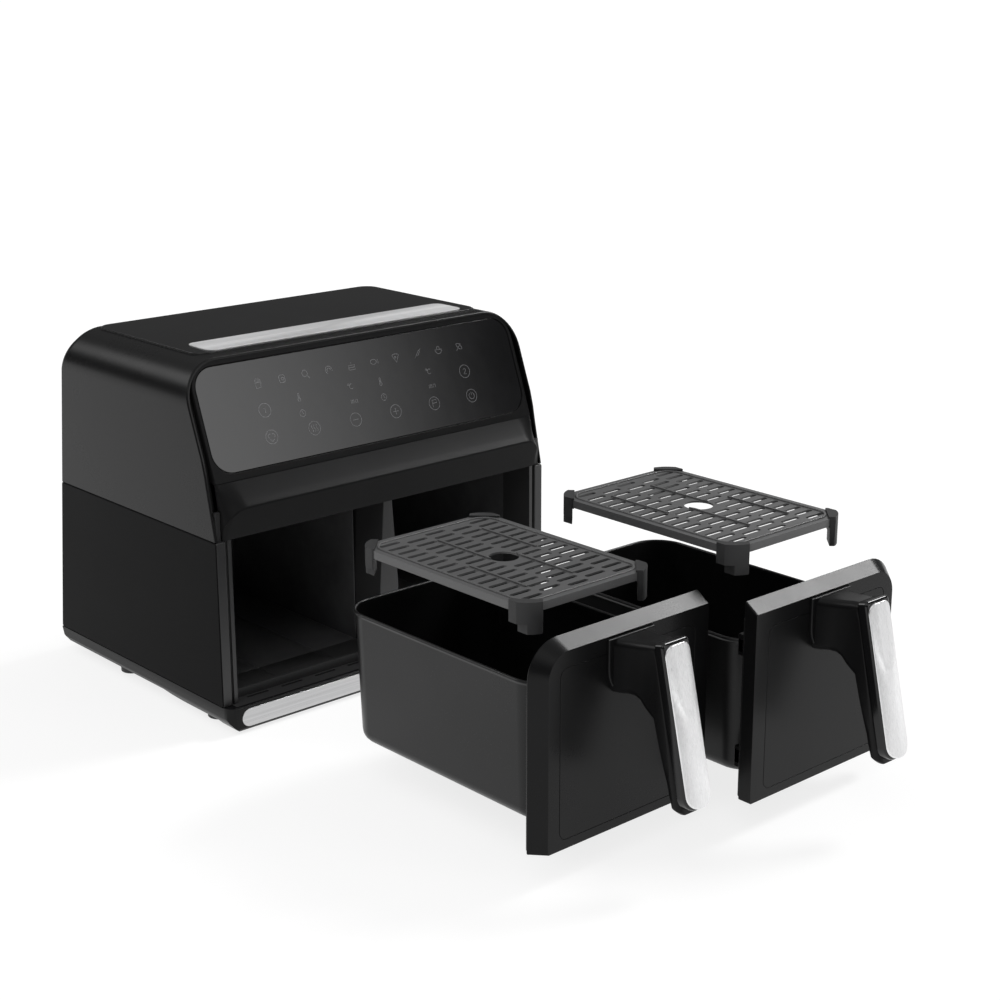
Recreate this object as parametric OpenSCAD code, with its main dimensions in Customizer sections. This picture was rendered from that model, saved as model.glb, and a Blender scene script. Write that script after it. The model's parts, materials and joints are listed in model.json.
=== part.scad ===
// Dual-basket air fryer: housing with touch panel, two pull-out drawers, two crisper plates.
// +X is to the right, +Y to the back, +Z up. The drawers are drawn pulled out of their bays.

/* [Housing] */
// Outer width of the housing
body_w = 390; // [384:1:396]
// Depth of the housing at its foot, from the front plane of the side panels to the rear cover
body_d = 289.2; // [286:0.1:296]
// Height of the top panel above the table
body_h = 333; // [331:1:338]
// Height of the seam between the lower side panels and the upper shell
seam_z = 180; // [179:0.5:181]
// Wall thickness of the moulded shells
wall = 2.6; // [2:0.1:3]
// Radius of the long upper edges of the shell
edge_r = 38; // [34:1:40]
// Tilt of the touch panel back from upright, in degrees
fascia_tilt = 20.5; // [19:0.5:22]
// Lean of the rear wall towards the front, in degrees
rear_lean = 7.2; // [6.5:0.1:7.5]

/* [Drawers] */
// How far the left drawer stands out from its closed place
left_travel = 384; // [340:1:390]
// How far the right drawer stands out from its closed place
right_travel = 428; // [340:1:432]
// Width of one drawer front at its back edge
panel_w = 183; // [180:1:184]
// Width of one basket over its rim
basket_w = 155; // [150:1:156]
// Height of the basket rim above the table
rim_z = 153.5; // [150:0.5:156]
// Thickness of the pressed steel of the basket
basket_t = 1.2; // [1:0.1:1.5]

/* [Crisper plates] */
// Width of a crisper plate
plate_w = 138; // [134:1:140]
// Length of a crisper plate, front to back
plate_l = 200; // [190:1:204]
// Height of the left plate above its seat, as drawn
left_lift = 145; // [120:1:148]
// Height of the right plate above its seat, as drawn
right_lift = 161; // [130:1:164]

/* [Hot air] */
// Diameter of the convection fans
fan_d = 104; // [90:1:110]
// Diameter of the motor shafts
shaft_d = 6; // [5:0.5:8]

/* [Hidden] */

$fn = 48;
eps = 0.01;
fit_gap = 0.3;

// Housing levels
half_w = body_w / 2;
side_z = 25;
tray_z = 12.5;
floor_z = 33.2;
sill_z = 34;
ledge_z = 25.5;
step_y = 11;
nose_y = -10.5;
nose_low = 8.5;
cover_low = 6;
cover_t = 3;
rear_y = body_d - cover_t * cos(rear_lean) + cover_low * sin(rear_lean);
rear_r = 12;
lip_y = -9;
lip_z = 209;
glass_low = [11.8, 235.8];
glass_len = 95.5;
glass_w = 366;
glass_t = 3;
border = 5.8;
fascia_w = 374;
fascia_edge_r = edge_r - (body_w - fascia_w) / 2;

// Inset panel and strip on the top
lid_w = 328;
lid_l = 176;
lid_y = 149;
lid_t = 1.6;
lid_r = 14;
strip_w = 298;
strip_l = 40;
strip_y = 86;

// Rear cover, its gland and its screws, measured up the leaning wall
cover_h = 280;
gland_x = 130;
gland_z = 36;
gland_d = 16;
rear_screws = [for (sx = [-1, 1], z = [33, 140, 176, 258]) [sx * 176, z]];

// Tray: screws up into the side panels, feet with the height of the underside over them, strip
base_screws = [for (sx = [-1, 1], y = [112, 165, 235]) [sx * 180, y]];
foot_places = [for (sx = [-1, 1], p = [[40, nose_low], [192, tray_z]]) [sx * 172, p[0], p[1]]];
foot_d = 24;
nose_end = 72;
strip_low_w = 364;
strip_low_h = 17;
strip_low_z = 14.1;

// Bays, measured on the left one; the right one is its mirror image
bay_x = -91.2;
liner_y0 = 42;
liner_y1 = 249;
liner_top = 218;
liner_t = 0.8;
deck_z = 219;
fan_x = bay_x;
fan_y = 148;
fan_z = 194;
coil_z = 179;
coil_r = [56, 70];
coil_a = 14;
guard_z = 169.5;
guard_r = 76;
guard_wire = 2;
cutout_x = bay_x - 52;
cutout_y = 96;

// Drawers, in their closed place
panel_front = -17.5;
panel_back = -5;
panel_z0 = 26;
panel_z1 = 193.6;
face_z1 = 185.4;
panel_x0 = -3 - panel_w;
panel_x1 = -3;
bevel = 10.5;
corner_r = 21;
basket_x = bay_x;
basket_y0 = -2;
basket_y1 = 243.5;
basket_z0 = 35.5;
basket_r = 28;
taper = 3.5;
handle_x = -91.5;
handle_top = 187;
handle_len = 128;
handle_lean = 13;
grip_y = panel_front - 40;
trim_len = handle_len - 4.4;
trim_front = 11.6;
screw_levels = [158, 173];
ear_places = [50, 145];

// Plates, in their seated place
plate_y = 124.5;
seat_z = 62;
plate_t = 1.6;
plate_r = 22;
slot_l = 21;
slot_pitch_x = 24.4;
slot_pitch_y = 12.2;
hole_d = 25;
rim_h = 5;
foot_w = 26;
foot_h = 22;

// The box of the whole object is centred on the Z axis: its ends are the foot of the rear cover and
// the lower end of the right drawer's grip
grip_end = grip_y - trim_front * cos(handle_lean) - (handle_len + trim_len) / 2 * sin(handle_lean);
front_y = (right_travel - grip_end - body_d) / 2;

black = [0.05, 0.05, 0.055];
gloss_black = [0.02, 0.02, 0.025];
brushed = [0.72, 0.72, 0.73];
steel = [0.6, 0.61, 0.62];
nonstick = [0.09, 0.09, 0.095];
pcb_green = [0.05, 0.25, 0.15];

// ---- placing -------------------------------------------------------------------------------

// Housing pieces are written from the front plane of the side panels
module housed() {
    translate([0, front_y, 0]) children();
}

// Drawer pieces are written closed and drawn pulled out
module drawn_out(travel) {
    translate([0, front_y - travel, 0]) children();
}

// The right bay mirrors the left one
module sided(right) {
    mirror([right ? 1 : 0, 0, 0]) children();
}

// Puts flat shapes drawn on the touch panel's own plane into place: x across, y up the slope
module on_fascia() {
    translate([0, glass_low[0], glass_low[1]])
        rotate([90 - fascia_tilt, 0, 0])
            children();
}

// ---- plain shapes --------------------------------------------------------------------------

// Rounded rectangle, centred
module rounded(w, l, r) {
    square([w - 2 * r, l], center = true);
    square([w, l - 2 * r], center = true);
    for (sx = [-1, 1], sy = [-1, 1])
        translate([sx * (w / 2 - r), sy * (l / 2 - r)])
            circle(r);
}

// Slot with round ends, centred, lying along x
module slot(l, w) {
    square([l - w, w], center = true);
    for (s = [-1, 1])
        translate([s * (l - w) / 2, 0])
            circle(w / 2, $fn = 16);
}

module block(x0, x1, y0, y1, z0, z1) {
    translate([x0, y0, z0]) cube([x1 - x0, y1 - y0, z1 - z0]);
}

// Extrudes a side view, given as [y, z] points, between two x places
module side_profile(x0, x1) {
    translate([x0, 0, 0])
        rotate([90, 0, 90])
            linear_extrude(x1 - x0)
                children();
}

// Extrudes a front view, given as [x, z] shapes, between two y places
module front_profile(y0, y1) {
    translate([0, y1, 0])
        rotate([90, 0, 0])
            linear_extrude(y1 - y0)
                children();
}

// Where the leaning rear wall stands at a height, and the frame of its outer face: z up along it
function rear_at(z) = rear_y - (z - side_z) * tan(rear_lean);
module on_rear() {
    translate([0, rear_y, side_z]) rotate([rear_lean, 0, 0]) children();
}

// Rounding from a level top down into the rear wall, as points of the side view
function rear_round(inset) = [
    for (k = [8:-1:0])
        let (a = rear_lean + (90 - rear_lean) * k / 8, z = body_h - rear_r, r = rear_r - inset)
            [rear_at(z) - rear_r / cos(rear_lean) + r * cos(a), z + r * sin(a)]
];

// Point of the touch panel's slope, in side view
function on_slope(along, off = 0) = [
    glass_low[0] + along * sin(fascia_tilt) + off * cos(fascia_tilt),
    glass_low[1] + along * cos(fascia_tilt) - off * sin(fascia_tilt)
];

// ---- housing -------------------------------------------------------------------------------

// Front view of the shell: upright sides with large rounded upper edges
module shell_outline(inset) {
    r = edge_r - inset;
    w = half_w - inset;
    top = body_h - inset;
    translate([-w, seam_z]) square([2 * w, top - r - seam_z]);
    translate([-(w - r), seam_z]) square([2 * (w - r), top - seam_z]);
    for (s = [-1, 1])
        translate([s * (w - r), top - r])
            circle(r);
}

// Side view of the shell: its front edge leans back with the touch panel
module shell_side(inset) {
    low = on_slope(-6, inset);
    high = on_slope(glass_len + border + 1.5, inset);
    foot = rear_at(seam_z) - inset / cos(rear_lean);
    polygon(concat([[0.5 + inset, seam_z], low, high, [high[0] + 4, body_h - inset]], rear_round(inset),
        [[foot, seam_z]]));
}

// Side view of the room inside the shell, open to the front and below
module shell_hollow() {
    foot = rear_at(0) - wall / cos(rear_lean);
    polygon(concat([[-20, 0], [-20, body_h - wall]], rear_round(wall), [[foot, 0]]));
}

// Clearance for the self-tapping screws of the rear cover
module screw_holes() {
    on_rear() for (p = rear_screws)
        translate([p[0], -4, p[1]]) rotate([-90, 0, 0]) cylinder(d = 3.8, h = 5, $fn = 24);
}

module upper_shell() {
    color(black) housed() difference() {
        intersection() {
            front_profile(-2, rear_y) shell_outline(0);
            side_profile(-half_w, half_w) shell_side(0);
        }
        intersection() {
            front_profile(-3, rear_y) shell_outline(wall);
            side_profile(-half_w + wall, half_w - wall) shell_hollow();
        }
        // the touch panel's opening through the leaning front
        front_profile(-20, 55) fascia_outline(-fit_gap / 2);
        // opening behind the rear cover, and the holes of its screws
        on_rear() front_profile(-4, 3)
            translate([-half_w + 28, seam_z - side_z - 5])
                square([body_w - 56, 130]);
        screw_holes();
        // seat of the lid panel
        translate([0, lid_y, body_h - lid_t])
            linear_extrude(lid_t + 1)
                rounded(lid_w + 0.4, lid_l + 0.4, lid_r);
    }
}

module top_lid_panel() {
    color(gloss_black) housed() difference() {
        translate([0, lid_y, body_h - lid_t])
            linear_extrude(lid_t + 0.8)
                rounded(lid_w, lid_l, lid_r - 0.2);
        translate([0, strip_y, body_h + 0.2])
            linear_extrude(2)
                rounded(strip_w + 0.2, strip_l + 0.2, 9.1);
    }
}

module top_trim_strip() {
    color(brushed) housed()
        translate([0, strip_y, body_h + 0.2])
            linear_extrude(1)
                rounded(strip_w, strip_l, 9);
}

// Front view of the fascia: its upper corners follow the shell's rounded edges
module fascia_outline(inset) {
    w = fascia_w / 2 - inset;
    top = 331.2 - inset;
    r = fascia_edge_r - inset;
    translate([-w, seam_z]) square([2 * w, top - r - seam_z]);
    translate([-(w - r), seam_z]) square([2 * (w - r), top - seam_z]);
    for (s = [-1, 1])
        translate([s * (w - r), top - r])
            circle(r);
}

module front_fascia() {
    back_low = on_slope(-4, 7);
    back_high = on_slope(glass_len + border + 1, 7);
    face_low = on_slope(-border, -0.6);
    face_high = on_slope(glass_len + border + 0.5, -0.6);
    color(black) housed() difference() {
        union() {
            intersection() {
                side_profile(-fascia_w / 2, fascia_w / 2)
                    polygon([face_low, face_high, [back_high[0], face_high[1]], back_high, back_low,
                        [4, 214], [5.5, seam_z + 3], [5.5, seam_z], [0.4, seam_z], [lip_y, lip_z - 1],
                        [lip_y + 0.5, lip_z + 1.5], [lip_y + 9, lip_z + 11]]);
                front_profile(-30, 80) fascia_outline(fit_gap / 2);
            }
            // the lip carries on past the sides of the touch panel, in front of the shell's edges
            side_profile(-half_w + 3, half_w - 3)
                polygon([[-0.3, seam_z + 1], [lip_y, lip_z - 1], [lip_y + 0.5, lip_z + 1.5],
                        [-0.3, lip_z + 10.5]]);
        }
        // recess of the glass, and the window for the touch board behind it
        on_fascia() translate([0, glass_len / 2, -glass_t - 0.1])
            linear_extrude(glass_t + 3)
                rounded(glass_w + 0.4, glass_len + 0.4, 20.2);
        on_fascia() translate([0, glass_len / 2, -20])
            linear_extrude(30)
                rounded(glass_w - 24, glass_len - 20, 8);
    }
}

module control_glass() {
    color(gloss_black) housed() on_fascia()
        translate([0, glass_len / 2, -glass_t])
            linear_extrude(glass_t)
                rounded(glass_w, glass_len, 20);
}

module control_board() {
    board_w = 330;
    board_l = 66;
    color(pcb_green) housed() on_fascia() {
        translate([0, glass_len / 2, -glass_t - 4])
            difference() {
                linear_extrude(1.6) rounded(board_w, board_l, 3);
                for (sx = [-1, 1], sy = [-1, 1])
                    translate([sx * (board_w / 2 - 6), sy * (board_l / 2 - 6), -1])
                        cylinder(d = 3.4, h = 4);
            }
        // touch springs between the board and the glass
        for (i = [-5:5], row = [24, 72])
            translate([i * 28, row, -glass_t - 2.4 - eps])
                cylinder(d = 8, h = 2.2, $fn = 24);
    }
}

module side_panel(right) {
    color(black) housed() sided(right) difference() {
        union() {
            panel_sheet(-half_w, -half_w + wall, 0);
            // front return and rear return
            block(-half_w, -half_w + 10, 0, wall, side_z, seam_z);
            panel_sheet(-half_w, -half_w + 26, rear_y - wall);
            // bottom return, screwed down to the tray
            block(-half_w, -half_w + 22, 30, rear_y - 20, side_z, side_z + wall);
        }
        screw_holes();
        for (p = base_screws)
            translate([p[0], p[1], side_z - 1]) cylinder(d = 3.8, h = 5, $fn = 24);
        // drip groove round the front edge
        block(-half_w - 1, -half_w + 0.6, 3, 4.2, side_z + 3, seam_z + 1);
    }
}

// Side view of a lower panel between two x places; start is where it begins at its foot
module panel_sheet(x0, x1, start) {
    lean = start > 0 ? rear_y - rear_at(seam_z) : 0;
    side_profile(x0, x1)
        polygon([[start, side_z], [rear_y, side_z], [rear_at(seam_z), seam_z], [start - lean, seam_z]]);
}

module rear_cover() {
    slat_n = 11;
    vent_w = 110;
    color(black) housed() on_rear() difference() {
        union() {
            front_profile(eps, cover_t)
                translate([0, cover_low + cover_h / 2])
                    rounded(body_w - 22, cover_h, 26);
            // spacers keep the hot vents off a wall
            for (sx = [-1, 1])
                front_profile(cover_t, cover_t + 2)
                    translate([sx * 120, 85])
                        rounded(16, 70, 7);
        }
        for (sx = [-1, 1], i = [0:slat_n - 1])
            front_profile(-1, 6)
                translate([sx * 91, 198 + i * 7.5])
                    slot(vent_w, 3.6);
        for (i = [0:5])
            front_profile(-1, 6)
                translate([0, 67 + i * 7.5])
                    slot(70, 3.6);
        // seat of the cord gland
        translate([gland_x, -2, gland_z]) rotate([-90, 0, 0]) cylinder(d = gland_d + 0.3, h = 10);
        for (p = rear_screws)
            translate([p[0], -2, p[1]]) rotate([-90, 0, 0]) cylinder(d = 4.4, h = 10, $fn = 24);
    }
}

module cord_gland() {
    flange_d = 22;
    bore_d = 8;
    color(gloss_black) housed() on_rear() translate([gland_x, 0, gland_z]) rotate([-90, 0, 0])
        difference() {
            union() {
                translate([0, 0, -12]) cylinder(d = gland_d, h = 15);
                translate([0, 0, 3]) cylinder(d = flange_d, h = 2);
                translate([0, 0, -3]) cylinder(d = flange_d, h = 3 - eps);
            }
            translate([0, 0, -13]) cylinder(d = bore_d, h = 20);
        }
}

module housing_screws() {
    color(steel) housed() {
        on_rear() for (p = rear_screws)
            translate([p[0], cover_t, p[1]]) rotate([90, 0, 0]) {
                translate([0, 0, -1.2]) cylinder(d = 7, h = 1.2, $fn = 24);
                cylinder(d = 3.6, h = 11, $fn = 24);
            }
        for (p = base_screws)
            translate([p[0], p[1], tray_z]) {
                translate([0, 0, -1.2]) cylinder(d = 7, h = 1.2, $fn = 24);
                cylinder(d = 3.6, h = 16, $fn = 24);
            }
    }
}

// Moulded tray under the housing, with a rounded nose along its front
module base_tray() {
    color(black) housed() difference() {
        union() {
            difference() {
                tray_solid();
                // hollow over the tray's floor, and in the nose under the ledge
                block(-half_w + 10, half_w - 10, nose_end, rear_y - 18, tray_z + wall, side_z + 1);
                block(-half_w + 10, half_w - 10, nose_y + 4, nose_end + eps, nose_low + wall, ledge_z + 1);
            }
            for (p = base_screws)
                translate([p[0], p[1], tray_z + 1]) cylinder(d = 9, h = side_z - tray_z - 1, $fn = 24);
        }
        // seat of the trim strip
        translate([0, nose_y + 1, strip_low_z]) rotate([90, 0, 0])
            linear_extrude(3) rounded(strip_low_w + 0.3, strip_low_h + 0.3, strip_low_h / 2 - 0.1);
        for (p = foot_places)
            translate([p[0], p[1], p[2] - 1]) cylinder(d = 8, h = 6);
        for (p = base_screws)
            translate([p[0], p[1], tray_z - 1]) cylinder(d = 4.4, h = 20, $fn = 24);
    }
}

module tray_solid() {
    tuck = 12;
    intersection() {
        side_profile(-half_w, half_w)
            polygon([[nose_y, 5], [nose_y + 1.8, 2.6], [nose_y + 5.5, 1.6], [3, 2], [8, 3.4], [15, nose_low],
                [nose_end, nose_low], [nose_end + 30, tray_z], [rear_y - tuck, tray_z], [rear_y - 3, 17],
                [rear_y, side_z],
                [-0.2, side_z], [-0.2, ledge_z], [nose_y + 1.3, ledge_z], [nose_y, ledge_z - 1.3]]);
        // the lower edges turn in at the sides
        front_profile(nose_y - 1, rear_y + 1)
            polygon([[-half_w, 30], [-half_w, 16], [-half_w + 2, 11], [-half_w + 6, 6], [-half_w + 12, 1],
                [half_w - 12, 1], [half_w - 6, 6], [half_w - 2, 11], [half_w, 16], [half_w, 30]]);
        // and the nose has round ends
        translate([0, nose_y + 200, 0]) linear_extrude(40) rounded(body_w, 400, -nose_y - 0.2);
    }
}

module base_trim_strip() {
    color(brushed) housed()
        translate([0, nose_y + 1, strip_low_z]) rotate([90, 0, 0])
            linear_extrude(1) rounded(strip_low_w, strip_low_h, strip_low_h / 2 - 0.1);
}

// Round pads with a stem pressed up through the tray
module rubber_feet() {
    color([0.12, 0.12, 0.12]) housed() for (p = foot_places)
        translate([p[0], p[1], 0]) {
            cylinder(d = foot_d, h = p[2]);
            translate([0, 0, p[2] - eps]) cylinder(d = 7.8, h = wall + 1);
            translate([0, 0, p[2] + wall]) cylinder(d = 11, h = 1.5);
        }
}

// Ledge in front of the bays with a row of air slots, and the step up to the bays' floors
module front_sill() {
    side_w = half_w - 10.2;
    skin = 2.4;
    color(black) housed() difference() {
        union() {
            block(-side_w, side_w, nose_y + 4.1, step_y + 2, ledge_z - skin, ledge_z);
            block(-side_w, side_w, step_y, step_y + 2, ledge_z - eps, sill_z);
            block(-side_w, side_w, step_y, liner_y0 - 0.2, sill_z - skin, sill_z);
        }
        for (i = [-4:4])
            translate([i * 38.2, 7.2, ledge_z - 5]) linear_extrude(8) slot(24, 3);
        floor_grooves(step_y + 4, liner_y0);
    }
}

// Shallow grooves along the bays' floors
module floor_grooves(y0, y1) {
    for (sx = [-1, 1], x = [63, 129])
        block(sx * x - 2.5, sx * x + 2.5, y0, y1, sill_z - 0.4, sill_z + 1);
}

// Front frame of the bays: posts at the sides, a rail over them and a collar round the inside
module opening_frame() {
    post = 16.6;
    color(black) housed() {
        difference() {
            union() {
                // posts and top rail
                front_profile(3, 7) difference() {
                    translate([-half_w + 3, ledge_z + 0.1])
                        square([body_w - 6, seam_z + 26 - ledge_z - 0.1]);
                    translate([-half_w + post, 0]) square([body_w - 2 * post, seam_z]);
                }
                // bead along the inner edge of each post
                for (sx = [-1, 1])
                    block(sx * (half_w - post + 1.9) - 1.9, sx * (half_w - post + 1.9) + 1.9, 0.8, 3 + eps,
                        ledge_z + 0.1, seam_z - 0.2);
                // collar
                front_profile(7 - eps, liner_y0 - 2) difference() {
                    translate([-half_w + post - 2.2, sill_z + 0.1])
                        square([body_w - 2 * post + 4.4, seam_z + 2.1 - sill_z]);
                    translate([-half_w + post, sill_z - 1]) square([body_w - 2 * post, seam_z - sill_z + 1]);
                }
            }
            // side grooves of the posts
            for (sx = [-1, 1])
                block(sx * (half_w - 11.2) - 1, sx * (half_w - 11.2) + 1, 2, 4.5, ledge_z, seam_z);
            // room for the fascia's foot
            block(-fascia_w / 2 - 0.4, fascia_w / 2 + 0.4, 2, 6, seam_z - 0.2, seam_z + 30);
        }
        // brackets that carry the fascia
        for (sx = [-1, 1])
            block(sx * 150 - 8, sx * 150 + 8, 6, 9, seam_z + 2.2 - eps, seam_z + 26);
    }
}

// Wedge between the bays
module centre_divider() {
    color(black) housed() {
        front_profile(4, liner_y1)
            polygon([[-11, sill_z + 0.1], [11, sill_z + 0.1], [11, 95], [5, seam_z], [-5, seam_z],
                [-11, 95]]);
        // foot of the wedge, down to the ledge in front of the step
        front_profile(4, step_y - 0.1)
            translate([-11, ledge_z + 0.1]) square([22, sill_z + 1 - ledge_z]);
    }
}

// Pressed steel box of one bay, open at the front
module cavity_liner(right) {
    x0 = -half_w + 14;
    x1 = -12.5;
    color(steel) housed() sided(right) difference() {
        block(x0, x1, liner_y0, liner_y1, floor_z, liner_top);
        block(x0 + liner_t, x1 - liner_t, liner_y0 - 1, liner_y1 - liner_t, floor_z + liner_t,
            liner_top - liner_t);
        // the shaft's hole and the sensor's hole in the ceiling
        translate([fan_x, fan_y, liner_top - 3]) cylinder(d = 14, h = 6);
        translate([cutout_x, cutout_y, liner_top - 3]) cylinder(d = 9, h = 6);
        coil_holes(liner_top - 3, 8);
        floor_grooves(liner_y0 - 1, liner_y1 - 12);
    }
}

// Steel deck that carries the motors over the bays
module motor_deck() {
    color(steel) housed() difference() {
        union() {
            block(-half_w + 12, half_w - 12, 52, 254, deck_z, deck_z + 1.2);
            for (sx = [-1, 1], a = [45:90:315])
                translate([sx * -fan_x + 30 * cos(a), fan_y + 30 * sin(a), deck_z + 1.2 - eps])
                    cylinder(d = 8, h = 12, $fn = 24);
        }
        for (sx = [-1, 1]) {
            translate([sx * -fan_x, fan_y, deck_z - 1]) cylinder(d = 18, h = 4);
            translate([sx * -cutout_x, cutout_y, deck_z - 1]) cylinder(d = 22, h = 4);
            mirror([sx > 0 ? 1 : 0, 0, 0]) coil_holes(deck_z - 1, 11);
        }
    }
}

// Two rings of tubular element round the fan, with both cold ends rising through the ceiling
module heater_coil(right) {
    tube = 6.4;
    color([0.35, 0.33, 0.31]) housed() sided(right) translate([fan_x, fan_y, coil_z]) {
        for (r = coil_r)
            rotate([0, 0, coil_a]) {
                rotate_extrude(angle = 360 - 2 * coil_a) translate([r, 0]) circle(tube / 2);
                translate([r, 0, 0]) cylinder(d = tube - 0.6, h = liner_top - coil_z + 6);
            }
        rotate([0, 0, -coil_a])
            translate([coil_r[0], 0, 0]) rotate([0, 90, 0])
                cylinder(d = tube - 0.6, h = coil_r[1] - coil_r[0]);
    }
}

// Holes for the cold ends of the element
module coil_holes(z, d) {
    for (r = coil_r)
        translate([fan_x + r * cos(coil_a), fan_y + r * sin(coil_a), z]) cylinder(d = d, h = 6);
}

// Flat grille under the element
module heater_guard(right) {
    color(steel) housed() sided(right) translate([fan_x, fan_y, guard_z]) linear_extrude(guard_wire) {
        for (r = [14, 30, 46, 61, guard_r])
            difference() {
                circle(r + guard_wire / 2);
                circle(r - guard_wire / 2);
            }
        for (a = [0:45:135])
            rotate(a) square([2 * guard_r, guard_wire], center = true);
    }
}

// Four pins that hang the grille from the ceiling of the bay
module guard_pins(right) {
    color(steel) housed() sided(right) translate([fan_x, fan_y, guard_z + guard_wire])
        for (a = [22.5:90:300])
            rotate([0, 0, a]) translate([guard_r, 0, 0])
                cylinder(d = guard_wire, h = liner_top - liner_t - guard_z - guard_wire, $fn = 16);
}

module fan_motor(right) {
    color([0.4, 0.4, 0.42]) housed() sided(right) translate([fan_x, fan_y, deck_z + 13.2])
        difference() {
            union() {
                // laminated stack with rounded corners, and the end bells
                translate([0, 0, 6]) linear_extrude(20) rounded(68, 68, 8);
                cylinder(d = 46, h = 32);
                // lugs onto the deck's posts
                linear_extrude(3) for (a = [45, 135]) rotate([0, 0, a]) rounded(70, 10, 4.9);
            }
            translate([0, 0, -1]) cylinder(d = shaft_d + 0.1, h = 40);
        }
}

module motor_shaft(right) {
    color(steel) housed() sided(right) translate([fan_x, fan_y, fan_z - 8])
        cylinder(d = shaft_d, h = deck_z + 13.2 + 32 + 20 - fan_z + 8);
}

// Backplate with upright blades and a hub on the shaft
module convection_fan(right) {
    blades = 10;
    color(steel) housed() sided(right) translate([fan_x, fan_y, fan_z]) difference() {
        union() {
            cylinder(d = fan_d - 8, h = 1.2);
            translate([0, 0, -6]) cylinder(d = 16, h = 10);
            for (i = [0:blades - 1])
                rotate([0, 0, i * 360 / blades])
                    translate([fan_d / 4 - 3, 0, 0.5])
                        rotate([0, 0, 18])
                            block(0, fan_d / 4 - 2, -0.6, 0.6, 0, 15);
        }
        translate([0, 0, -7]) cylinder(d = shaft_d, h = 14);
    }
}

module cooling_fan(right) {
    blades = 9;
    base = deck_z + 13.2 + 32 + 5;
    color([0.2, 0.2, 0.22]) housed() sided(right) translate([fan_x, fan_y, base]) difference() {
        union() {
            cylinder(d = 26, h = 12);
            for (i = [0:blades - 1])
                rotate([0, 0, i * 360 / blades])
                    translate([11, 0, 6])
                        rotate([28, 0, 0])
                            block(0, 27, -0.7, 0.7, -5, 5);
        }
        translate([0, 0, -1]) cylinder(d = shaft_d, h = 14);
    }
}

module thermal_cutout(right) {
    color([0.85, 0.83, 0.78]) housed() sided(right) translate([cutout_x, cutout_y, liner_top]) {
        cylinder(d = 16, h = 8);
        translate([0, 0, -4]) cylinder(d = 8, h = 4.5);
        for (s = [-1, 1])
            block(s * 5 - 3, s * 5 + 3, -0.4, 0.4, 8 - eps, 15);
    }
}

// Mains board on posts behind the divider's top
module power_board() {
    x0 = -38;
    x1 = 38;
    y0 = 86;
    y1 = 216;
    z0 = deck_z + 1.2;
    color(pcb_green) housed() {
        for (x = [x0 + 6, x1 - 6], y = [y0 + 6, y1 - 6])
            translate([x, y, z0]) cylinder(d = 6, h = 8 + eps, $fn = 24);
        block(x0, x1, y0, y1, z0 + 8, z0 + 9.6);
        // transformer, relays, capacitor
        block(-16, 14, 100, 130, z0 + 9.6 - eps, z0 + 34);
        for (i = [0:2])
            block(-28 + i * 20, -14 + i * 20, 146, 164, z0 + 9.6 - eps, z0 + 25);
        translate([0, 190, z0 + 9.6 - eps]) cylinder(d = 16, h = 24);
    }
}

// Door switch of one bay, on the collar's back, with its lever forward
module microswitch(right) {
    color([0.15, 0.15, 0.16]) housed() sided(right) {
        block(-half_w + 4, -half_w + 11, 14, 34, 140, 151);
        block(-half_w + 5.5, -half_w + 9.5, 9.5, 14 + eps, 143, 148);
    }
}

// ---- drawers -------------------------------------------------------------------------------

// Front view of the drawer front; only the outer upper corner is rounded
module panel_outline(inset, r) {
    x0 = panel_x0 + inset;
    z1 = panel_z1 - inset * (panel_z1 - face_z1) / bevel;
    translate([x0 + r, panel_z0]) square([panel_x1 - x0 - r, z1 - panel_z0]);
    translate([x0, panel_z0]) square([panel_x1 - x0, z1 - panel_z0 - r]);
    translate([x0 + r, z1 - r]) circle(r, $fn = 32);
}

module panel_solid(shrink) {
    hull() {
        front_profile(panel_back - 1, panel_back) panel_outline(shrink, corner_r + 8 - shrink);
        front_profile(panel_front + shrink, panel_front + shrink + 1)
            panel_outline(bevel + shrink, corner_r);
    }
}

module drawer_front(right, travel) {
    skin = 3;
    color(black) drawn_out(travel) sided(right) difference() {
        panel_solid(0);
        intersection() {
            translate([0, eps, 0]) panel_solid(skin);
            block(panel_x0 + skin + 3, panel_x1 - skin, panel_front + skin, panel_back + 1,
                panel_z0 + skin, panel_z1 - 3 * skin);
        }
        // fine engraved frame on the face
        front_profile(panel_front - 1, panel_front + 0.4)
            translate([-91, 103]) difference() {
                rounded(146, 139, 8);
                rounded(145, 138, 7.5);
            }
        for (z = screw_levels)
            translate([handle_x, panel_front - 1, z]) rotate([-90, 0, 0]) cylinder(d = 4.6, h = 8, $fn = 24);
    }
}

// Flat plate that closes the back of the drawer front
module front_backing(right, travel) {
    color(black) drawn_out(travel) sided(right) difference() {
        front_profile(panel_back - 2.4, panel_back - 0.1)
            translate([(panel_x0 + panel_x1) / 2 + 1, 105])
                rounded(168, 148, 16);
        for (z = screw_levels)
            translate([handle_x, panel_back - 4, z]) rotate([-90, 0, 0]) cylinder(d = 4.6, h = 8, $fn = 24);
    }
}

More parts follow.
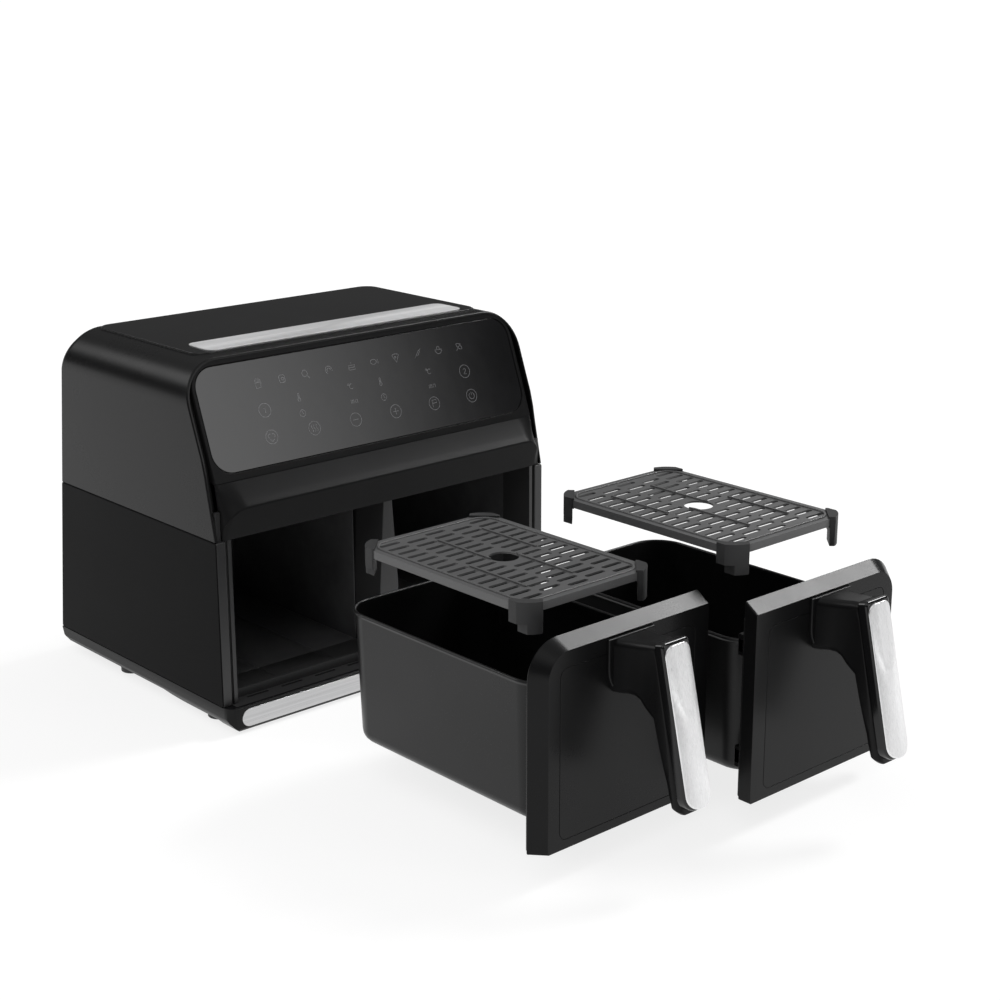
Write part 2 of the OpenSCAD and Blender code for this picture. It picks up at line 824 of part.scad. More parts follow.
// Bracket between the drawer front and the basket, with latch ears at the corners
module basket_bracket(right, travel) {
    ear = 7;
    low = 46;
    high = 150;
    color(black) drawn_out(travel) sided(right) difference() {
        union() {
            front_profile(panel_back, basket_y0 - eps)
                translate([basket_x, (low + high) / 2])
                    rounded(150, high - low, 12);
            // wedge that meets the basket's sloping front wall
            side_profile(basket_x - 44, basket_x + 44)
                polygon([[panel_back, low], [panel_back, high], [front_wall(high), high],
                    [front_wall(low), low]]);
            for (s = [-1, 1], z = ear_places)
                translate([s * 76 + basket_x, (panel_back + 8) / 2, z + 7.5])
                    difference() {
                        cube([ear, 8 - panel_back, 18], center = true);
                        translate([0, 2, 0]) cube([ear + 2, 7, 9], center = true);
                    }
        }
        for (z = screw_levels)
            translate([handle_x, panel_back - 1, z]) rotate([-90, 0, 0]) cylinder(d = 8, h = 8, $fn = 24);
    }
}

// Where the basket's front wall stands at a height
function front_wall(z) = basket_y0 + 2 + taper * (rim_z - z) / (rim_z - basket_z0 - 10) - 0.02;

// Tapered pan with rounded corners and a rolled rim
module pan(w, l, r, shrink, z0, z1) {
    hull() {
        translate([0, 0, z1 - 0.1]) linear_extrude(0.1) rounded(w, l, r, $fn = 32);
        translate([0, 0, z0 + 10]) linear_extrude(0.1) rounded(w - 2 * shrink, l - 2 * shrink, r, $fn = 32);
        translate([0, 0, z0 + 3]) linear_extrude(0.1)
            rounded(w - 2 * shrink - 6, l - 2 * shrink - 6, r - 3, $fn = 32);
        translate([0, 0, z0]) linear_extrude(0.1)
            rounded(w - 2 * shrink - 20, l - 2 * shrink - 20, r - 10, $fn = 32);
    }
}

module basket(right, travel) {
    body_bw = basket_w - 4;
    body_bl = basket_y1 - basket_y0 - 4;
    mid = (basket_y0 + basket_y1) / 2;
    color(nonstick) drawn_out(travel) sided(right) translate([basket_x, mid, 0]) difference() {
        union() {
            pan(body_bw, body_bl, basket_r, taper, basket_z0, rim_z);
            translate([0, 0, rim_z - 2.4])
                linear_extrude(2.4) rounded(body_bw + 4, body_bl + 4, basket_r + 2);
        }
        translate([0, 0, 0.05])
            pan(body_bw - 2 * basket_t, body_bl - 2 * basket_t, basket_r - basket_t, taper,
                basket_z0 + basket_t, rim_z + 0.1);
    }
}

// Outline of the boss where the handle meets the drawer front: a U with a round bottom
module boss_outline(half, low) {
    translate([-half, low + half]) square([2 * half, 181 - low - half]);
    translate([0, low + half]) circle(half, $fn = 32);
}

// Handle: a boss, a short arm and the hanging back half of the grip
module handle_arm(right, travel) {
    color(black) drawn_out(travel) sided(right) difference() {
        union() {
            front_profile(panel_front - 3, panel_front - eps)
                translate([handle_x, 0]) boss_outline(24, 134);
            hull() {
                front_profile(panel_front - 4, panel_front - 3)
                    translate([handle_x, 0]) boss_outline(20, 139);
                front_profile(panel_front - 40, panel_front - 39)
                    translate([handle_x - 13, 158]) square([26, 26]);
            }
            grip_frame() translate([0, 3, -handle_len]) linear_extrude(handle_len) rounded(26, 15, 6);
        }
        for (z = screw_levels)
            translate([handle_x, panel_front + 1, z]) rotate([90, 0, 0]) cylinder(d = 3.5, h = 22, $fn = 24);
    }
}

// Frame of the grip: z runs up its leaning length, -y points to its front
module grip_frame() {
    translate([handle_x, grip_y, handle_top - 3])
        rotate([-handle_lean, 0, 0])
            children();
}

module handle_cap(right, travel) {
    color(gloss_black) drawn_out(travel) sided(right) grip_frame()
        difference() {
            translate([0, -7.6, -handle_len + 1]) linear_extrude(handle_len + 1.5) rounded(29, 6, 2.9);
            translate([0, -11, -handle_len / 2]) cube([25, 4, handle_len - 4], center = true);
        }
}

module handle_trim(right, travel) {
    color(brushed) drawn_out(travel) sided(right) grip_frame()
        translate([0, 2.6 - trim_front, -handle_len / 2]) rotate([90, 0, 0])
            linear_extrude(2.6) rounded(24.8, trim_len, 8);
}

module drawer_screws(right, travel) {
    color(steel) drawn_out(travel) sided(right) for (z = screw_levels)
        translate([handle_x, panel_back - 0.1, z]) rotate([90, 0, 0]) {
            translate([0, 0, -1.8]) cylinder(d = 7, h = 1.8, $fn = 24);
            cylinder(d = 3.5, h = 28, $fn = 24);
        }
}

// ---- crisper plates ------------------------------------------------------------------------

// A plate's rows of slots; every other column is shifted by half a row
module slot_field() {
    for (col = [-2:2], row = [-8:8]) {
        y = (row + (abs(col) % 2) / 2) * slot_pitch_y;
        x = col * slot_pitch_x;
        if (abs(y) < plate_l / 2 - 9 && norm([x * 0.8, y]) > hole_d / 2 + 6)
            translate([x, y]) slot(slot_l, 4.6);
    }
}

module crisper_plate(right, travel, lift) {
    color(nonstick) drawn_out(travel) sided(right) translate([basket_x, plate_y, seat_z + lift]) {
        difference() {
            union() {
                linear_extrude(plate_t) rounded(plate_w, plate_l, plate_r);
                // down-turned rim
                translate([0, 0, -rim_h]) linear_extrude(rim_h + eps) difference() {
                    rounded(plate_w, plate_l, plate_r);
                    rounded(plate_w - 2 * plate_t, plate_l - 2 * plate_t, plate_r - plate_t);
                }
                // low ribs, front to back
                for (s = [-1, 1]) {
                    translate([s * slot_pitch_x / 2, s * -34, plate_t - eps])
                        linear_extrude(1.2) square([2, 66], center = true);
                    translate([s * slot_pitch_x * 1.5, s * 34, plate_t - eps])
                        linear_extrude(1.2) square([2, 66], center = true);
                }
            }
            translate([0, 0, -1]) linear_extrude(5) slot_field();
            translate([0, 0, -1]) cylinder(d = hole_d, h = 5);
        }
    }
}

// Four silicone shoes over the plate's corners, each a leg with a lip over and under the plate
module plate_feet(right, travel, lift) {
    slit = plate_t + 0.1;
    inner_r = plate_r - 5;
    outer_r = plate_r + 4.2;
    toe_h = 8;
    color([0.07, 0.07, 0.07]) drawn_out(travel) sided(right)
        translate([basket_x, plate_y, seat_z + lift]) intersection() {
            for (sx = [-1, 1], sy = [-1, 1])
                translate([sx * (plate_w / 2 - plate_r), sy * (plate_l / 2 - plate_r), 0])
                    rotate([0, 0, atan2(sy, sx)])
                        difference() {
                            intersection() {
                                translate([0, 0, -foot_h]) cylinder(r = outer_r, h = foot_h + 3.4);
                                translate([inner_r, -foot_w / 2, -foot_h])
                                    cube([outer_r - inner_r, foot_w, foot_h + 3.4]);
                            }
                            translate([0, 0, -rim_h - 0.2])
                                cylinder(r = plate_r + 0.05, h = rim_h + 0.2 + slit);
                            translate([inner_r - 1, -foot_w, -foot_h - 1])
                                cube([2.5, 2 * foot_w, foot_h - 5]);
                        }
            // the legs stay inside the basket's walls and clear of its rounded bottom edge
            union() {
                translate([-69.8, -plate_l, -foot_h + toe_h]) cube([139.6, 2 * plate_l, foot_h]);
                translate([-64.5, -103, -foot_h]) cube([129, 206, toe_h + eps]);
            }
        }
}

base_tray();
rubber_feet();
base_trim_strip();
front_sill();
side_panel(false);  // left_side_panel
side_panel(true);  // right_side_panel
upper_shell();
rear_cover();
top_lid_panel();
top_trim_strip();
front_fascia();
control_glass();
control_board();
opening_frame();
centre_divider();
cavity_liner(false);  // left_cavity_liner
cavity_liner(true);  // right_cavity_liner
motor_deck();
heater_coil(false);  // left_heater_coil
heater_coil(true);  // right_heater_coil
heater_guard(false);  // left_heater_guard
heater_guard(true);  // right_heater_guard
guard_pins(false);  // left_guard_pins
guard_pins(true);  // right_guard_pins
fan_motor(false);  // left_fan_motor
fan_motor(true);  // right_fan_motor
motor_shaft(false);  // left_motor_shaft
motor_shaft(true);  // right_motor_shaft
convection_fan(false);  // left_convection_fan
convection_fan(true);  // right_convection_fan
cooling_fan(false);  // left_cooling_fan
cooling_fan(true);  // right_cooling_fan
thermal_cutout(false);  // left_thermal_cutout
thermal_cutout(true);  // right_thermal_cutout
power_board();
microswitch(false);  // left_microswitch
microswitch(true);  // right_microswitch
cord_gland();
housing_screws();
basket(false, left_travel);  // left_basket
basket(true, right_travel);  // right_basket
drawer_front(false, left_travel);  // left_drawer_front
drawer_front(true, right_travel);  // right_drawer_front
front_backing(false, left_travel);  // left_front_backing
front_backing(true, right_travel);  // right_front_backing
basket_bracket(false, left_travel);  // left_basket_bracket
basket_bracket(true, right_travel);  // right_basket_bracket
handle_arm(false, left_travel);  // left_handle_arm
handle_arm(true, right_travel);  // right_handle_arm
handle_cap(false, left_travel);  // left_handle_cap
handle_cap(true, right_travel);  // right_handle_cap
handle_trim(false, left_travel);  // left_handle_trim
handle_trim(true, right_travel);  // right_handle_trim
drawer_screws(false, left_travel);  // left_drawer_screws
drawer_screws(true, right_travel);  // right_drawer_screws
crisper_plate(false, left_travel, left_lift);  // left_crisper_plate
crisper_plate(true, right_travel, right_lift);  // right_crisper_plate
plate_feet(false, left_travel, left_lift);  // left_plate_feet
plate_feet(true, right_travel, right_lift);  // right_plate_feet
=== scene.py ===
import json
import math

import bmesh
import bpy
from mathutils import Matrix, Vector

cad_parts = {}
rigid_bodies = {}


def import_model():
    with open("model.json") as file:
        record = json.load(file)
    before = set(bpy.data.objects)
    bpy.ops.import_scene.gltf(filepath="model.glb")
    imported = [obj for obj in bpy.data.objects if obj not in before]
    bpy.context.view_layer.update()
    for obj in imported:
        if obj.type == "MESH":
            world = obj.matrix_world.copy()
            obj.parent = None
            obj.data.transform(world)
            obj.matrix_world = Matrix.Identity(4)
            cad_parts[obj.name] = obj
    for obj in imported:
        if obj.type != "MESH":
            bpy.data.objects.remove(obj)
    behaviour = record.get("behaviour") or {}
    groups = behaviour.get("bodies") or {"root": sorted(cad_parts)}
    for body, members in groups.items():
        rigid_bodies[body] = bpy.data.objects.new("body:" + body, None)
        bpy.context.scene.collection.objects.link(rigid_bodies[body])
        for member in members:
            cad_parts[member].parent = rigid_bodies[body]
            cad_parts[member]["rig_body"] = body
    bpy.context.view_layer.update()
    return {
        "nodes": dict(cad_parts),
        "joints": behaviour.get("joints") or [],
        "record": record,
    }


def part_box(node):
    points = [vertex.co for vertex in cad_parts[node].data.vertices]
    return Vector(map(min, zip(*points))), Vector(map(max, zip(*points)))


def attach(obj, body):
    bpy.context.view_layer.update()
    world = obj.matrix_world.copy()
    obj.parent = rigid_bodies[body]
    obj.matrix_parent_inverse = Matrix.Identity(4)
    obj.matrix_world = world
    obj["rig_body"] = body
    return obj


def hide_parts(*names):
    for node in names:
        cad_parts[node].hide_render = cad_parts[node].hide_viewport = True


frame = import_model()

MM = 0.001
NODES = frame["nodes"]
RANGES = {joint["name"]: joint.get("range_m") for joint in frame["joints"]}


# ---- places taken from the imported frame, in millimetres --

def lowest(node):
    """Lowest corner of a node's box."""
    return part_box(node)[0] / MM


def highest(node):
    """Highest corner of a node's box."""
    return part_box(node)[1] / MM


HALF_W = -lowest("left_side_panel").x
FRONT = lowest("left_side_panel").y
REAR = highest("left_side_panel").y - FRONT
SIDE_Z = lowest("left_side_panel").z
SEAM_Z = highest("left_side_panel").z
TOP_Z = highest("upper_shell").z
REAR_LEAN = math.radians(7.2)
TRAVEL = {"left": RANGES["left_drawer_slide"][1] / MM, "right": RANGES["right_drawer_slide"][1] / MM}

# The touch glass leans back: its lower front edge, its length up the slope and its lean
GLASS_LOW = lowest("control_glass")
GLASS_HIGH = highest("control_glass")
GLASS_W = GLASS_HIGH.x - GLASS_LOW.x
GLASS_T = 3.0
LEAN = math.radians(20.5)
GLASS_Y = GLASS_LOW.y - FRONT
GLASS_Z = GLASS_LOW.z + GLASS_T * math.sin(LEAN)
GLASS_LEN = (GLASS_HIGH.z - GLASS_Z) / math.cos(LEAN)


def rear_y(z):
    """Where the rear wall, which leans to the front, stands at a height."""
    return REAR - (z - SIDE_Z) * math.tan(REAR_LEAN)


def at_housing(x, y, z):
    """A point measured from the housing's front plane, in millimetres, as a point of the frame."""
    return Vector((x, y + FRONT, z)) * MM


def at_frame(x, y, z):
    """A point of the frame in millimetres, as a point in metres."""
    return Vector((x, y, z)) * MM


def at_glass(u, v, w):
    """A point of the touch panel: u across, v up the slope, w out of the glass."""
    y = GLASS_Y + v * math.sin(LEAN) - w * math.cos(LEAN)
    z = GLASS_Z + v * math.cos(LEAN) + w * math.sin(LEAN)
    return at_housing(u, y, z)


def drawer_place(side):
    """Turns a point of a closed left drawer into its drawn place, mirrored for the right one."""
    mirror = 1 if side == "left" else -1
    shift = FRONT - TRAVEL[side]
    return lambda x, y, z: Vector((x * mirror, y + shift, z)) * MM


def upright(place):
    """The same place for an outline that is drawn in x and z."""
    return lambda x, z, y: place(x, y, z)


# ---- node-based materials --------------------------------

RANGE_SOCKETS = ("From Min", "From Max", "To Min", "To Max")


class Shader:
    """A small builder for one node material with a single principled shader."""

    def __init__(self, name, color, roughness, metallic=0.0, shine=0.5):
        self.material = bpy.data.materials.new(name)
        self.material.use_nodes = True
        self.nodes = self.material.node_tree.nodes
        self.links = self.material.node_tree.links
        self.main = self.nodes["Principled BSDF"]
        self.main.inputs["Base Color"].default_value = (*color, 1)
        self.main.inputs["Roughness"].default_value = roughness
        self.main.inputs["Metallic"].default_value = metallic
        self.main.inputs["Specular IOR Level"].default_value = shine
        self.material.diffuse_color = (*color, 1)
        self.coords = self.nodes.new("ShaderNodeTexCoord").outputs["Object"]

    def stretched(self, scale):
        node = self.nodes.new("ShaderNodeMapping")
        node.inputs["Scale"].default_value = scale
        self.links.new(self.coords, node.inputs["Vector"])
        return node.outputs["Vector"]

    def noise(self, scale, detail=3.0, rough=0.5, stretch=(1, 1, 1)):
        node = self.nodes.new("ShaderNodeTexNoise")
        node.inputs["Scale"].default_value = scale
        node.inputs["Detail"].default_value = detail
        node.inputs["Roughness"].default_value = rough
        self.links.new(self.stretched(stretch), node.inputs["Vector"])
        return node.outputs["Fac"]

    def cells(self, scale, randomness=1.0):
        node = self.nodes.new("ShaderNodeTexVoronoi")
        node.inputs["Scale"].default_value = scale
        node.inputs["Randomness"].default_value = randomness
        self.links.new(self.stretched((1, 1, 1)), node.inputs["Vector"])
        return node

    def ramp(self, value, low, high, out_low, out_high):
        node = self.nodes.new("ShaderNodeMapRange")
        for socket, number in zip(RANGE_SOCKETS, (low, high, out_low, out_high)):
            node.inputs[socket].default_value = number
        self.links.new(value, node.inputs["Value"])
        return node.outputs["Result"]

    def mix(self, fac, color_a, color_b):
        node = self.nodes.new("ShaderNodeMix")
        node.data_type = "RGBA"
        node.inputs["A"].default_value = (*color_a, 1)
        node.inputs["B"].default_value = (*color_b, 1)
        self.links.new(fac, node.inputs["Factor"])
        return node.outputs["Result"]

    def math(self, kind, a, b):
        node = self.nodes.new("ShaderNodeMath")
        node.operation = kind
        for socket, value in zip(node.inputs, (a, b)):
            if isinstance(value, (int, float)):
                socket.default_value = value
            else:
                self.links.new(value, socket)
        return node.outputs["Value"]

    def color(self, value):
        self.links.new(value, self.main.inputs["Base Color"])

    def roughness(self, value):
        self.links.new(value, self.main.inputs["Roughness"])

    def bump(self, height, strength, distance):
        node = self.nodes.new("ShaderNodeBump")
        node.inputs["Strength"].default_value = strength
        node.inputs["Distance"].default_value = distance
        self.links.new(height, node.inputs["Height"])
        self.links.new(node.outputs["Normal"], self.main.inputs["Normal"])


def moulded_plastic(name, dark, light, rough_low, rough_high, grain, depth, shine=0.5):
    """Moulded plastic: a fine spark-eroded grain, and broad soft changes of sheen and shade."""
    s = Shader(name, dark, (rough_low + rough_high) / 2, 0, shine)
    broad = s.noise(9, 4, 0.6)
    fine = s.noise(grain, 2, 0.6)
    s.color(s.mix(s.ramp(broad, 0.3, 0.7, 0, 1), dark, light))
    sheen = s.math("ADD", s.math("MULTIPLY", broad, 0.75), s.math("MULTIPLY", fine, 0.25))
    s.roughness(s.ramp(sheen, 0.3, 0.7, rough_low, rough_high))
    s.bump(fine, 0.25, depth)
    return s.material


def polished_plastic(name, color, rough_low, rough_high, shine=0.5):
    """Polished plastic or back-printed glass, with faint smears and a trace of orange peel."""
    s = Shader(name, color, rough_low, 0, shine)
    smear = s.noise(16, 5, 0.65, (1, 0.5, 1))
    s.roughness(s.ramp(smear, 0.35, 0.75, rough_low, rough_high))
    s.color(s.mix(s.ramp(smear, 0.3, 0.8, 0, 1), color, tuple(c * 1.5 + 0.001 for c in color)))
    s.bump(s.noise(60, 1, 0.4), 0.04, 0.0004)
    return s.material


def brushed_metal(name, dark, light, along, rough_low=0.26, rough_high=0.4, metallic=1.0):
    """Brushed stainless steel: long scratches along one axis, uneven in depth and tone."""
    across = 900
    stretch = tuple(6 if axis == along else across for axis in "xyz")
    s = Shader(name, light, 0.3, metallic)
    fine = s.noise(1, 4, 0.7, stretch)
    bands = s.noise(1, 2, 0.5, tuple(2.5 if axis == along else 90 for axis in "xyz"))
    tone = s.math("ADD", s.math("MULTIPLY", fine, 0.7), s.math("MULTIPLY", bands, 0.3))
    s.color(s.mix(s.ramp(tone, 0.3, 0.7, 0, 1), dark, light))
    s.roughness(s.ramp(fine, 0.3, 0.7, rough_low, rough_high))
    s.bump(fine, 0.3, 0.00008)
    s.main.inputs["Anisotropic"].default_value = 0.6
    return s.material


def coated_steel(name, dark, fleck, rough_low, rough_high, shine=0.5):
    """Nonstick coating: fine light flecks over a dark ground, a little orange peel, soft sheen."""
    s = Shader(name, dark, (rough_low + rough_high) / 2, 0, shine)
    cell = s.cells(700)
    spots = s.ramp(cell.outputs["Distance"], 0.1, 0.22, 1, 0)
    chosen = s.ramp(cell.outputs["Color"], 0.72, 0.8, 0, 0.55)
    broad = s.noise(12, 4, 0.6)
    s.color(s.mix(s.math("MULTIPLY", spots, chosen), dark, fleck))
    s.roughness(s.ramp(broad, 0.3, 0.7, rough_low, rough_high))
    s.bump(s.noise(420, 2, 0.5), 0.12, 0.0002)
    return s.material


def plain_metal(name, dark, light, rough_low, rough_high, scale=60, metallic=1.0):
    """Pressed or plated metal with cloudy tone and fine scuffs."""
    s = Shader(name, light, (rough_low + rough_high) / 2, metallic)
    cloud = s.noise(scale, 5, 0.65)
    s.color(s.mix(s.ramp(cloud, 0.3, 0.7, 0, 1), dark, light))
    s.roughness(s.ramp(cloud, 0.3, 0.7, rough_low, rough_high))
    s.bump(s.noise(scale * 14, 3, 0.6), 0.15, 0.0001)
    return s.material


def soft_rubber(name, dark, light):
    """Matt silicone with a dusty bloom."""
    s = Shader(name, dark, 0.6)
    bloom = s.noise(45, 4, 0.6)
    s.color(s.mix(s.ramp(bloom, 0.35, 0.75, 0, 1), dark, light))
    s.roughness(s.ramp(bloom, 0.3, 0.7, 0.5, 0.72))
    s.bump(s.noise(900, 2, 0.5), 0.2, 0.0001)
    return s.material


def circuit_board(name):
    """Green solder mask with paler traces."""
    s = Shader(name, (0.02, 0.12, 0.06), 0.4)
    cell = s.cells(160, 0.3)
    s.color(s.mix(s.ramp(cell.outputs["Distance"], 0.38, 0.42, 0, 1), (0.015, 0.1, 0.05), (0.05, 0.22, 0.11)))
    s.roughness(s.ramp(s.noise(80), 0.3, 0.7, 0.3, 0.5))
    s.bump(cell.outputs["Distance"], 0.2, 0.0002)
    return s.material


def printed_grey(name, dark, light):
    """Faint screen print behind the glass, a little uneven."""
    s = Shader(name, light, 0.2)
    uneven = s.noise(700, 3, 0.6)
    s.color(s.mix(s.ramp(uneven, 0.3, 0.7, 0, 1), dark, light))
    s.roughness(s.ramp(uneven, 0.3, 0.7, 0.12, 0.25))
    return s.material


# Every look: what makes it, and the values it is given
LOOKS = {
    "satin_black_plastic": (moulded_plastic, (0.004, 0.004, 0.0042), (0.0055, 0.0055, 0.0058),
                            0.25, 0.33, 1500, 0.0001, 0.17),
    # upper shell: the satin black plastic given a darker colour and a little more sheen, painted shade
    "shell_black_painted_shade": (moulded_plastic, (0.003, 0.003, 0.0032), (0.0045, 0.0045, 0.0047),
                    0.25, 0.32, 1500, 0.00008, 0.19),
    # side panels and rear cover: the satin black plastic given a darker colour and less sheen, painted shade
    "panel_black_painted_shade": (moulded_plastic, (0.003, 0.003, 0.0032), (0.004, 0.004, 0.0042),
                    0.36, 0.44, 1500, 0.0001, 0.035),
    # fascia: the satin black plastic given a lighter colour and little sheen, painted light
    "fascia_black_painted_light": (moulded_plastic, (0.009, 0.009, 0.0092), (0.012, 0.012, 0.0123),
                     0.3, 0.38, 1500, 0.0001, 0.05),
    # sill, opening frame, divider and panel returns: the satin black plastic given a much lighter colour,
    # painted light
    "sill_black_painted_light": (moulded_plastic, (0.025, 0.025, 0.0255), (0.032, 0.032, 0.0325),
                   0.3, 0.4, 1500, 0.0001, 0.4),
    "gloss_black_plastic": (polished_plastic, (0.004, 0.004, 0.0043), 0.1, 0.16, 0.4),
    "touch_glass": (polished_plastic, (0.004, 0.004, 0.0045), 0.05, 0.09, 0.5),
    "brushed_trim": (brushed_metal, (0.42, 0.42, 0.425), (0.64, 0.64, 0.645), "x"),
    # top strip: the brushed trim steel made paler, rougher and less metallic, painted light
    "brushed_top_painted_light": (brushed_metal, (0.62, 0.62, 0.625), (0.86, 0.86, 0.865), "x", 0.4, 0.55, 0.5),
    # grip face: the brushed trim steel made paler, painted light
    "brushed_grip_painted_light": (brushed_metal, (0.7, 0.7, 0.705), (0.96, 0.96, 0.965), "z"),
    "nonstick_coating": (coated_steel, (0.006, 0.006, 0.0063), (0.08, 0.08, 0.083), 0.26, 0.36, 0.28),
    "plate_coating": (coated_steel, (0.085, 0.085, 0.086), (0.22, 0.22, 0.225), 0.34, 0.44, 0.5),
    "liner_steel": (plain_metal, (0.09, 0.09, 0.092), (0.14, 0.14, 0.143), 0.34, 0.48, 20, 0.5),
    "bare_steel": (plain_metal, (0.4, 0.4, 0.41), (0.62, 0.62, 0.63), 0.25, 0.42),
    "element_sheath": (plain_metal, (0.1, 0.085, 0.075), (0.2, 0.17, 0.15), 0.35, 0.5),
    "fan_aluminium": (plain_metal, (0.5, 0.5, 0.51), (0.72, 0.72, 0.73), 0.3, 0.45),
    "motor_case": (plain_metal, (0.16, 0.16, 0.17), (0.3, 0.3, 0.31), 0.4, 0.55),
    "silicone": (soft_rubber, (0.012, 0.012, 0.0125), (0.028, 0.028, 0.029)),
    "circuit_board": (circuit_board,),
    "ceramic": (moulded_plastic, (0.6, 0.57, 0.5), (0.72, 0.7, 0.63), 0.3, 0.45, 500, 0.0001),
    "print": (printed_grey, (0.1, 0.1, 0.105), (0.15, 0.15, 0.155)),
    "gap_shadow": (moulded_plastic, (0.003, 0.003, 0.003), (0.004, 0.004, 0.004), 0.7, 0.8, 900, 0.0001),
}
MATERIALS = {name: make(name, *values) for name, (make, *values) in LOOKS.items()}


# ---- mesh building ---------------------------------------

SHARP_ANGLE = math.radians(32)
BEVEL_ANGLE = math.radians(30)
FLAT_ANGLE = math.radians(1.5)


def add_piece(name, bm, look, body, replaced=(), bevel=0.0, segments=2):
    """Makes a piece of a bmesh in frame metres, gives it a look and seats it on its body."""
    bmesh.ops.remove_doubles(bm, verts=bm.verts, dist=1e-6)
    bmesh.ops.recalc_face_normals(bm, faces=bm.faces)
    mesh = bpy.data.meshes.new(name)
    bm.to_mesh(mesh)
    bm.free()
    piece = bpy.data.objects.new(name, mesh)
    bpy.context.scene.collection.objects.link(piece)
    mesh.materials.append(MATERIALS[look])
    mesh.shade_smooth()
    mesh.set_sharp_from_angle(angle=SHARP_ANGLE)
    if bevel:
        mod = piece.modifiers.new("edges", "BEVEL")
        mod.width = bevel * MM
        mod.segments = segments
        mod.limit_method = "ANGLE"
        mod.angle_limit = BEVEL_ANGLE
        mod.harden_normals = True
        mod.use_clamp_overlap = True
    else:
        mod = piece.modifiers.new("normals", "WEIGHTED_NORMAL")
        mod.keep_sharp = True
    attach(piece, body)
    if replaced:
        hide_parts(*replaced)


def add_grid(bm, rows, place, closed_rows=False, closed_columns=False):
    """Joins rows of points into quads; rows and columns may close on themselves."""
    made = [[bm.verts.new(place(*p)) for p in row] for row in rows]
    count = len(made)
    for i in range(count if closed_rows else count - 1):
        a, b = made[i], made[(i + 1) % count]
        size = len(a)
        for j in range(size if closed_columns else size - 1):
            k = (j + 1) % size
            bm.faces.new((a[j], a[k], b[k], b[j]))
    return made


def add_tube(bm, rows, place):
    """Joins closed rows of points into a tube and fills its ends."""
    made = add_grid(bm, rows, place, closed_columns=True)
    bm.faces.new(list(reversed(made[0])))
    bm.faces.new(made[-1])


def corners(points, steps):
    """Outline through [(x, y, radius)] corners, each rounded with the same number of points."""
    outline = []
    count = len(points)
    for i, (x, y, r) in enumerate(points):
        here = Vector((x, y))
        before = (Vector(points[i - 1][:2]) - here).normalized()
        after = (Vector(points[(i + 1) % count][:2]) - here).normalized()
        half = before.angle(after) / 2
        r = max(r, 0.02)
        cut = r / math.tan(half)
        centre = here + (before + after).normalized() * (r / math.sin(half))
        start = here + before * cut - centre
        end = here + after * cut - centre
        turn = start.angle_signed(end)
        for k in range(steps + 1):
            a = -turn * k / steps
            p = Matrix.Rotation(a, 2) @ start
            outline.append((centre.x + p.x, centre.y + p.y))
    return outline


def boxed(x0, y0, x1, y1, r, steps):
    """A rectangle between two opposite corners, with rounded corners."""
    return corners([(x0, y0, r), (x1, y0, r), (x1, y1, r), (x0, y1, r)], steps)


def rounded(w, l, r, steps, cx=0.0, cy=0.0):
    """A rectangle of a width and length round a middle, with rounded corners."""
    return boxed(cx - w / 2, cy - l / 2, cx + w / 2, cy + l / 2, r, steps)


def inset(outline, d):
    """The outline moved inwards by d along its own normals."""
    count = len(outline)
    area = sum(outline[i - 1][0] * outline[i][1] - outline[i][0] * outline[i - 1][1] for i in range(count))
    side = 1 if area > 0 else -1
    moved = []
    for i in range(count):
        p = Vector(outline[i])
        a, b = Vector(outline[i - 1]), Vector(outline[(i + 1) % count])
        e1, e2 = p - a, b - p
        if e1.length < 1e-7 or e2.length < 1e-7:
            e1 = e2 = b - a
        n1 = Vector((-e1.y, e1.x)).normalized() * side
        n2 = Vector((-e2.y, e2.x)).normalized() * side
        n = n1 + n2
        n = n / max(n.length_squared, 1e-9) * 2
        moved.append((p.x + n.x * d, p.y + n.y * d))
    return moved


def fillet_steps(r, count=4):
    """(inset, height) pairs of a quarter round from an edge's side to its face."""
    steps = []
    for k in range(count + 1):
        a = math.pi / 2 * k / count
        steps.append((r * (1 - math.cos(a)), r * math.sin(a) - r))
    return steps


def slab(bm, outline, low, high, place, r_low, r_high, crown=0.0):
    """A flat piece of an outline between two heights with rounded edges; crown lifts its middle."""
    rings = []
    up = 1 if high > low else -1
    if r_low:
        for d, h in reversed(fillet_steps(r_low)):
            rings.append([(x, y, low - up * h) for x, y in inset(outline, d)])
    else:
        rings.append([(x, y, low) for x, y in outline])
    for d, h in fillet_steps(r_high):
        rings.append([(x, y, high + up * h) for x, y in inset(outline, d)])
    if crown:
        xs = [x for x, y in outline]
        half = (max(xs) - min(xs)) / 2
        mid = (max(xs) + min(xs)) / 2
        rings = [[(x, y, z + crown * (1 - ((x - mid) / half) ** 2) if z > low + 0.01 else z)
                  for x, y, z in ring] for ring in rings]
    made = add_grid(bm, rings, place, closed_columns=True)
    bm.faces.new(list(reversed(made[0])))
    if crown:
        fill_crowned(bm, made[-1], rings[-1], mid, half, crown, high, place)
    else:
        bm.faces.new(made[-1])


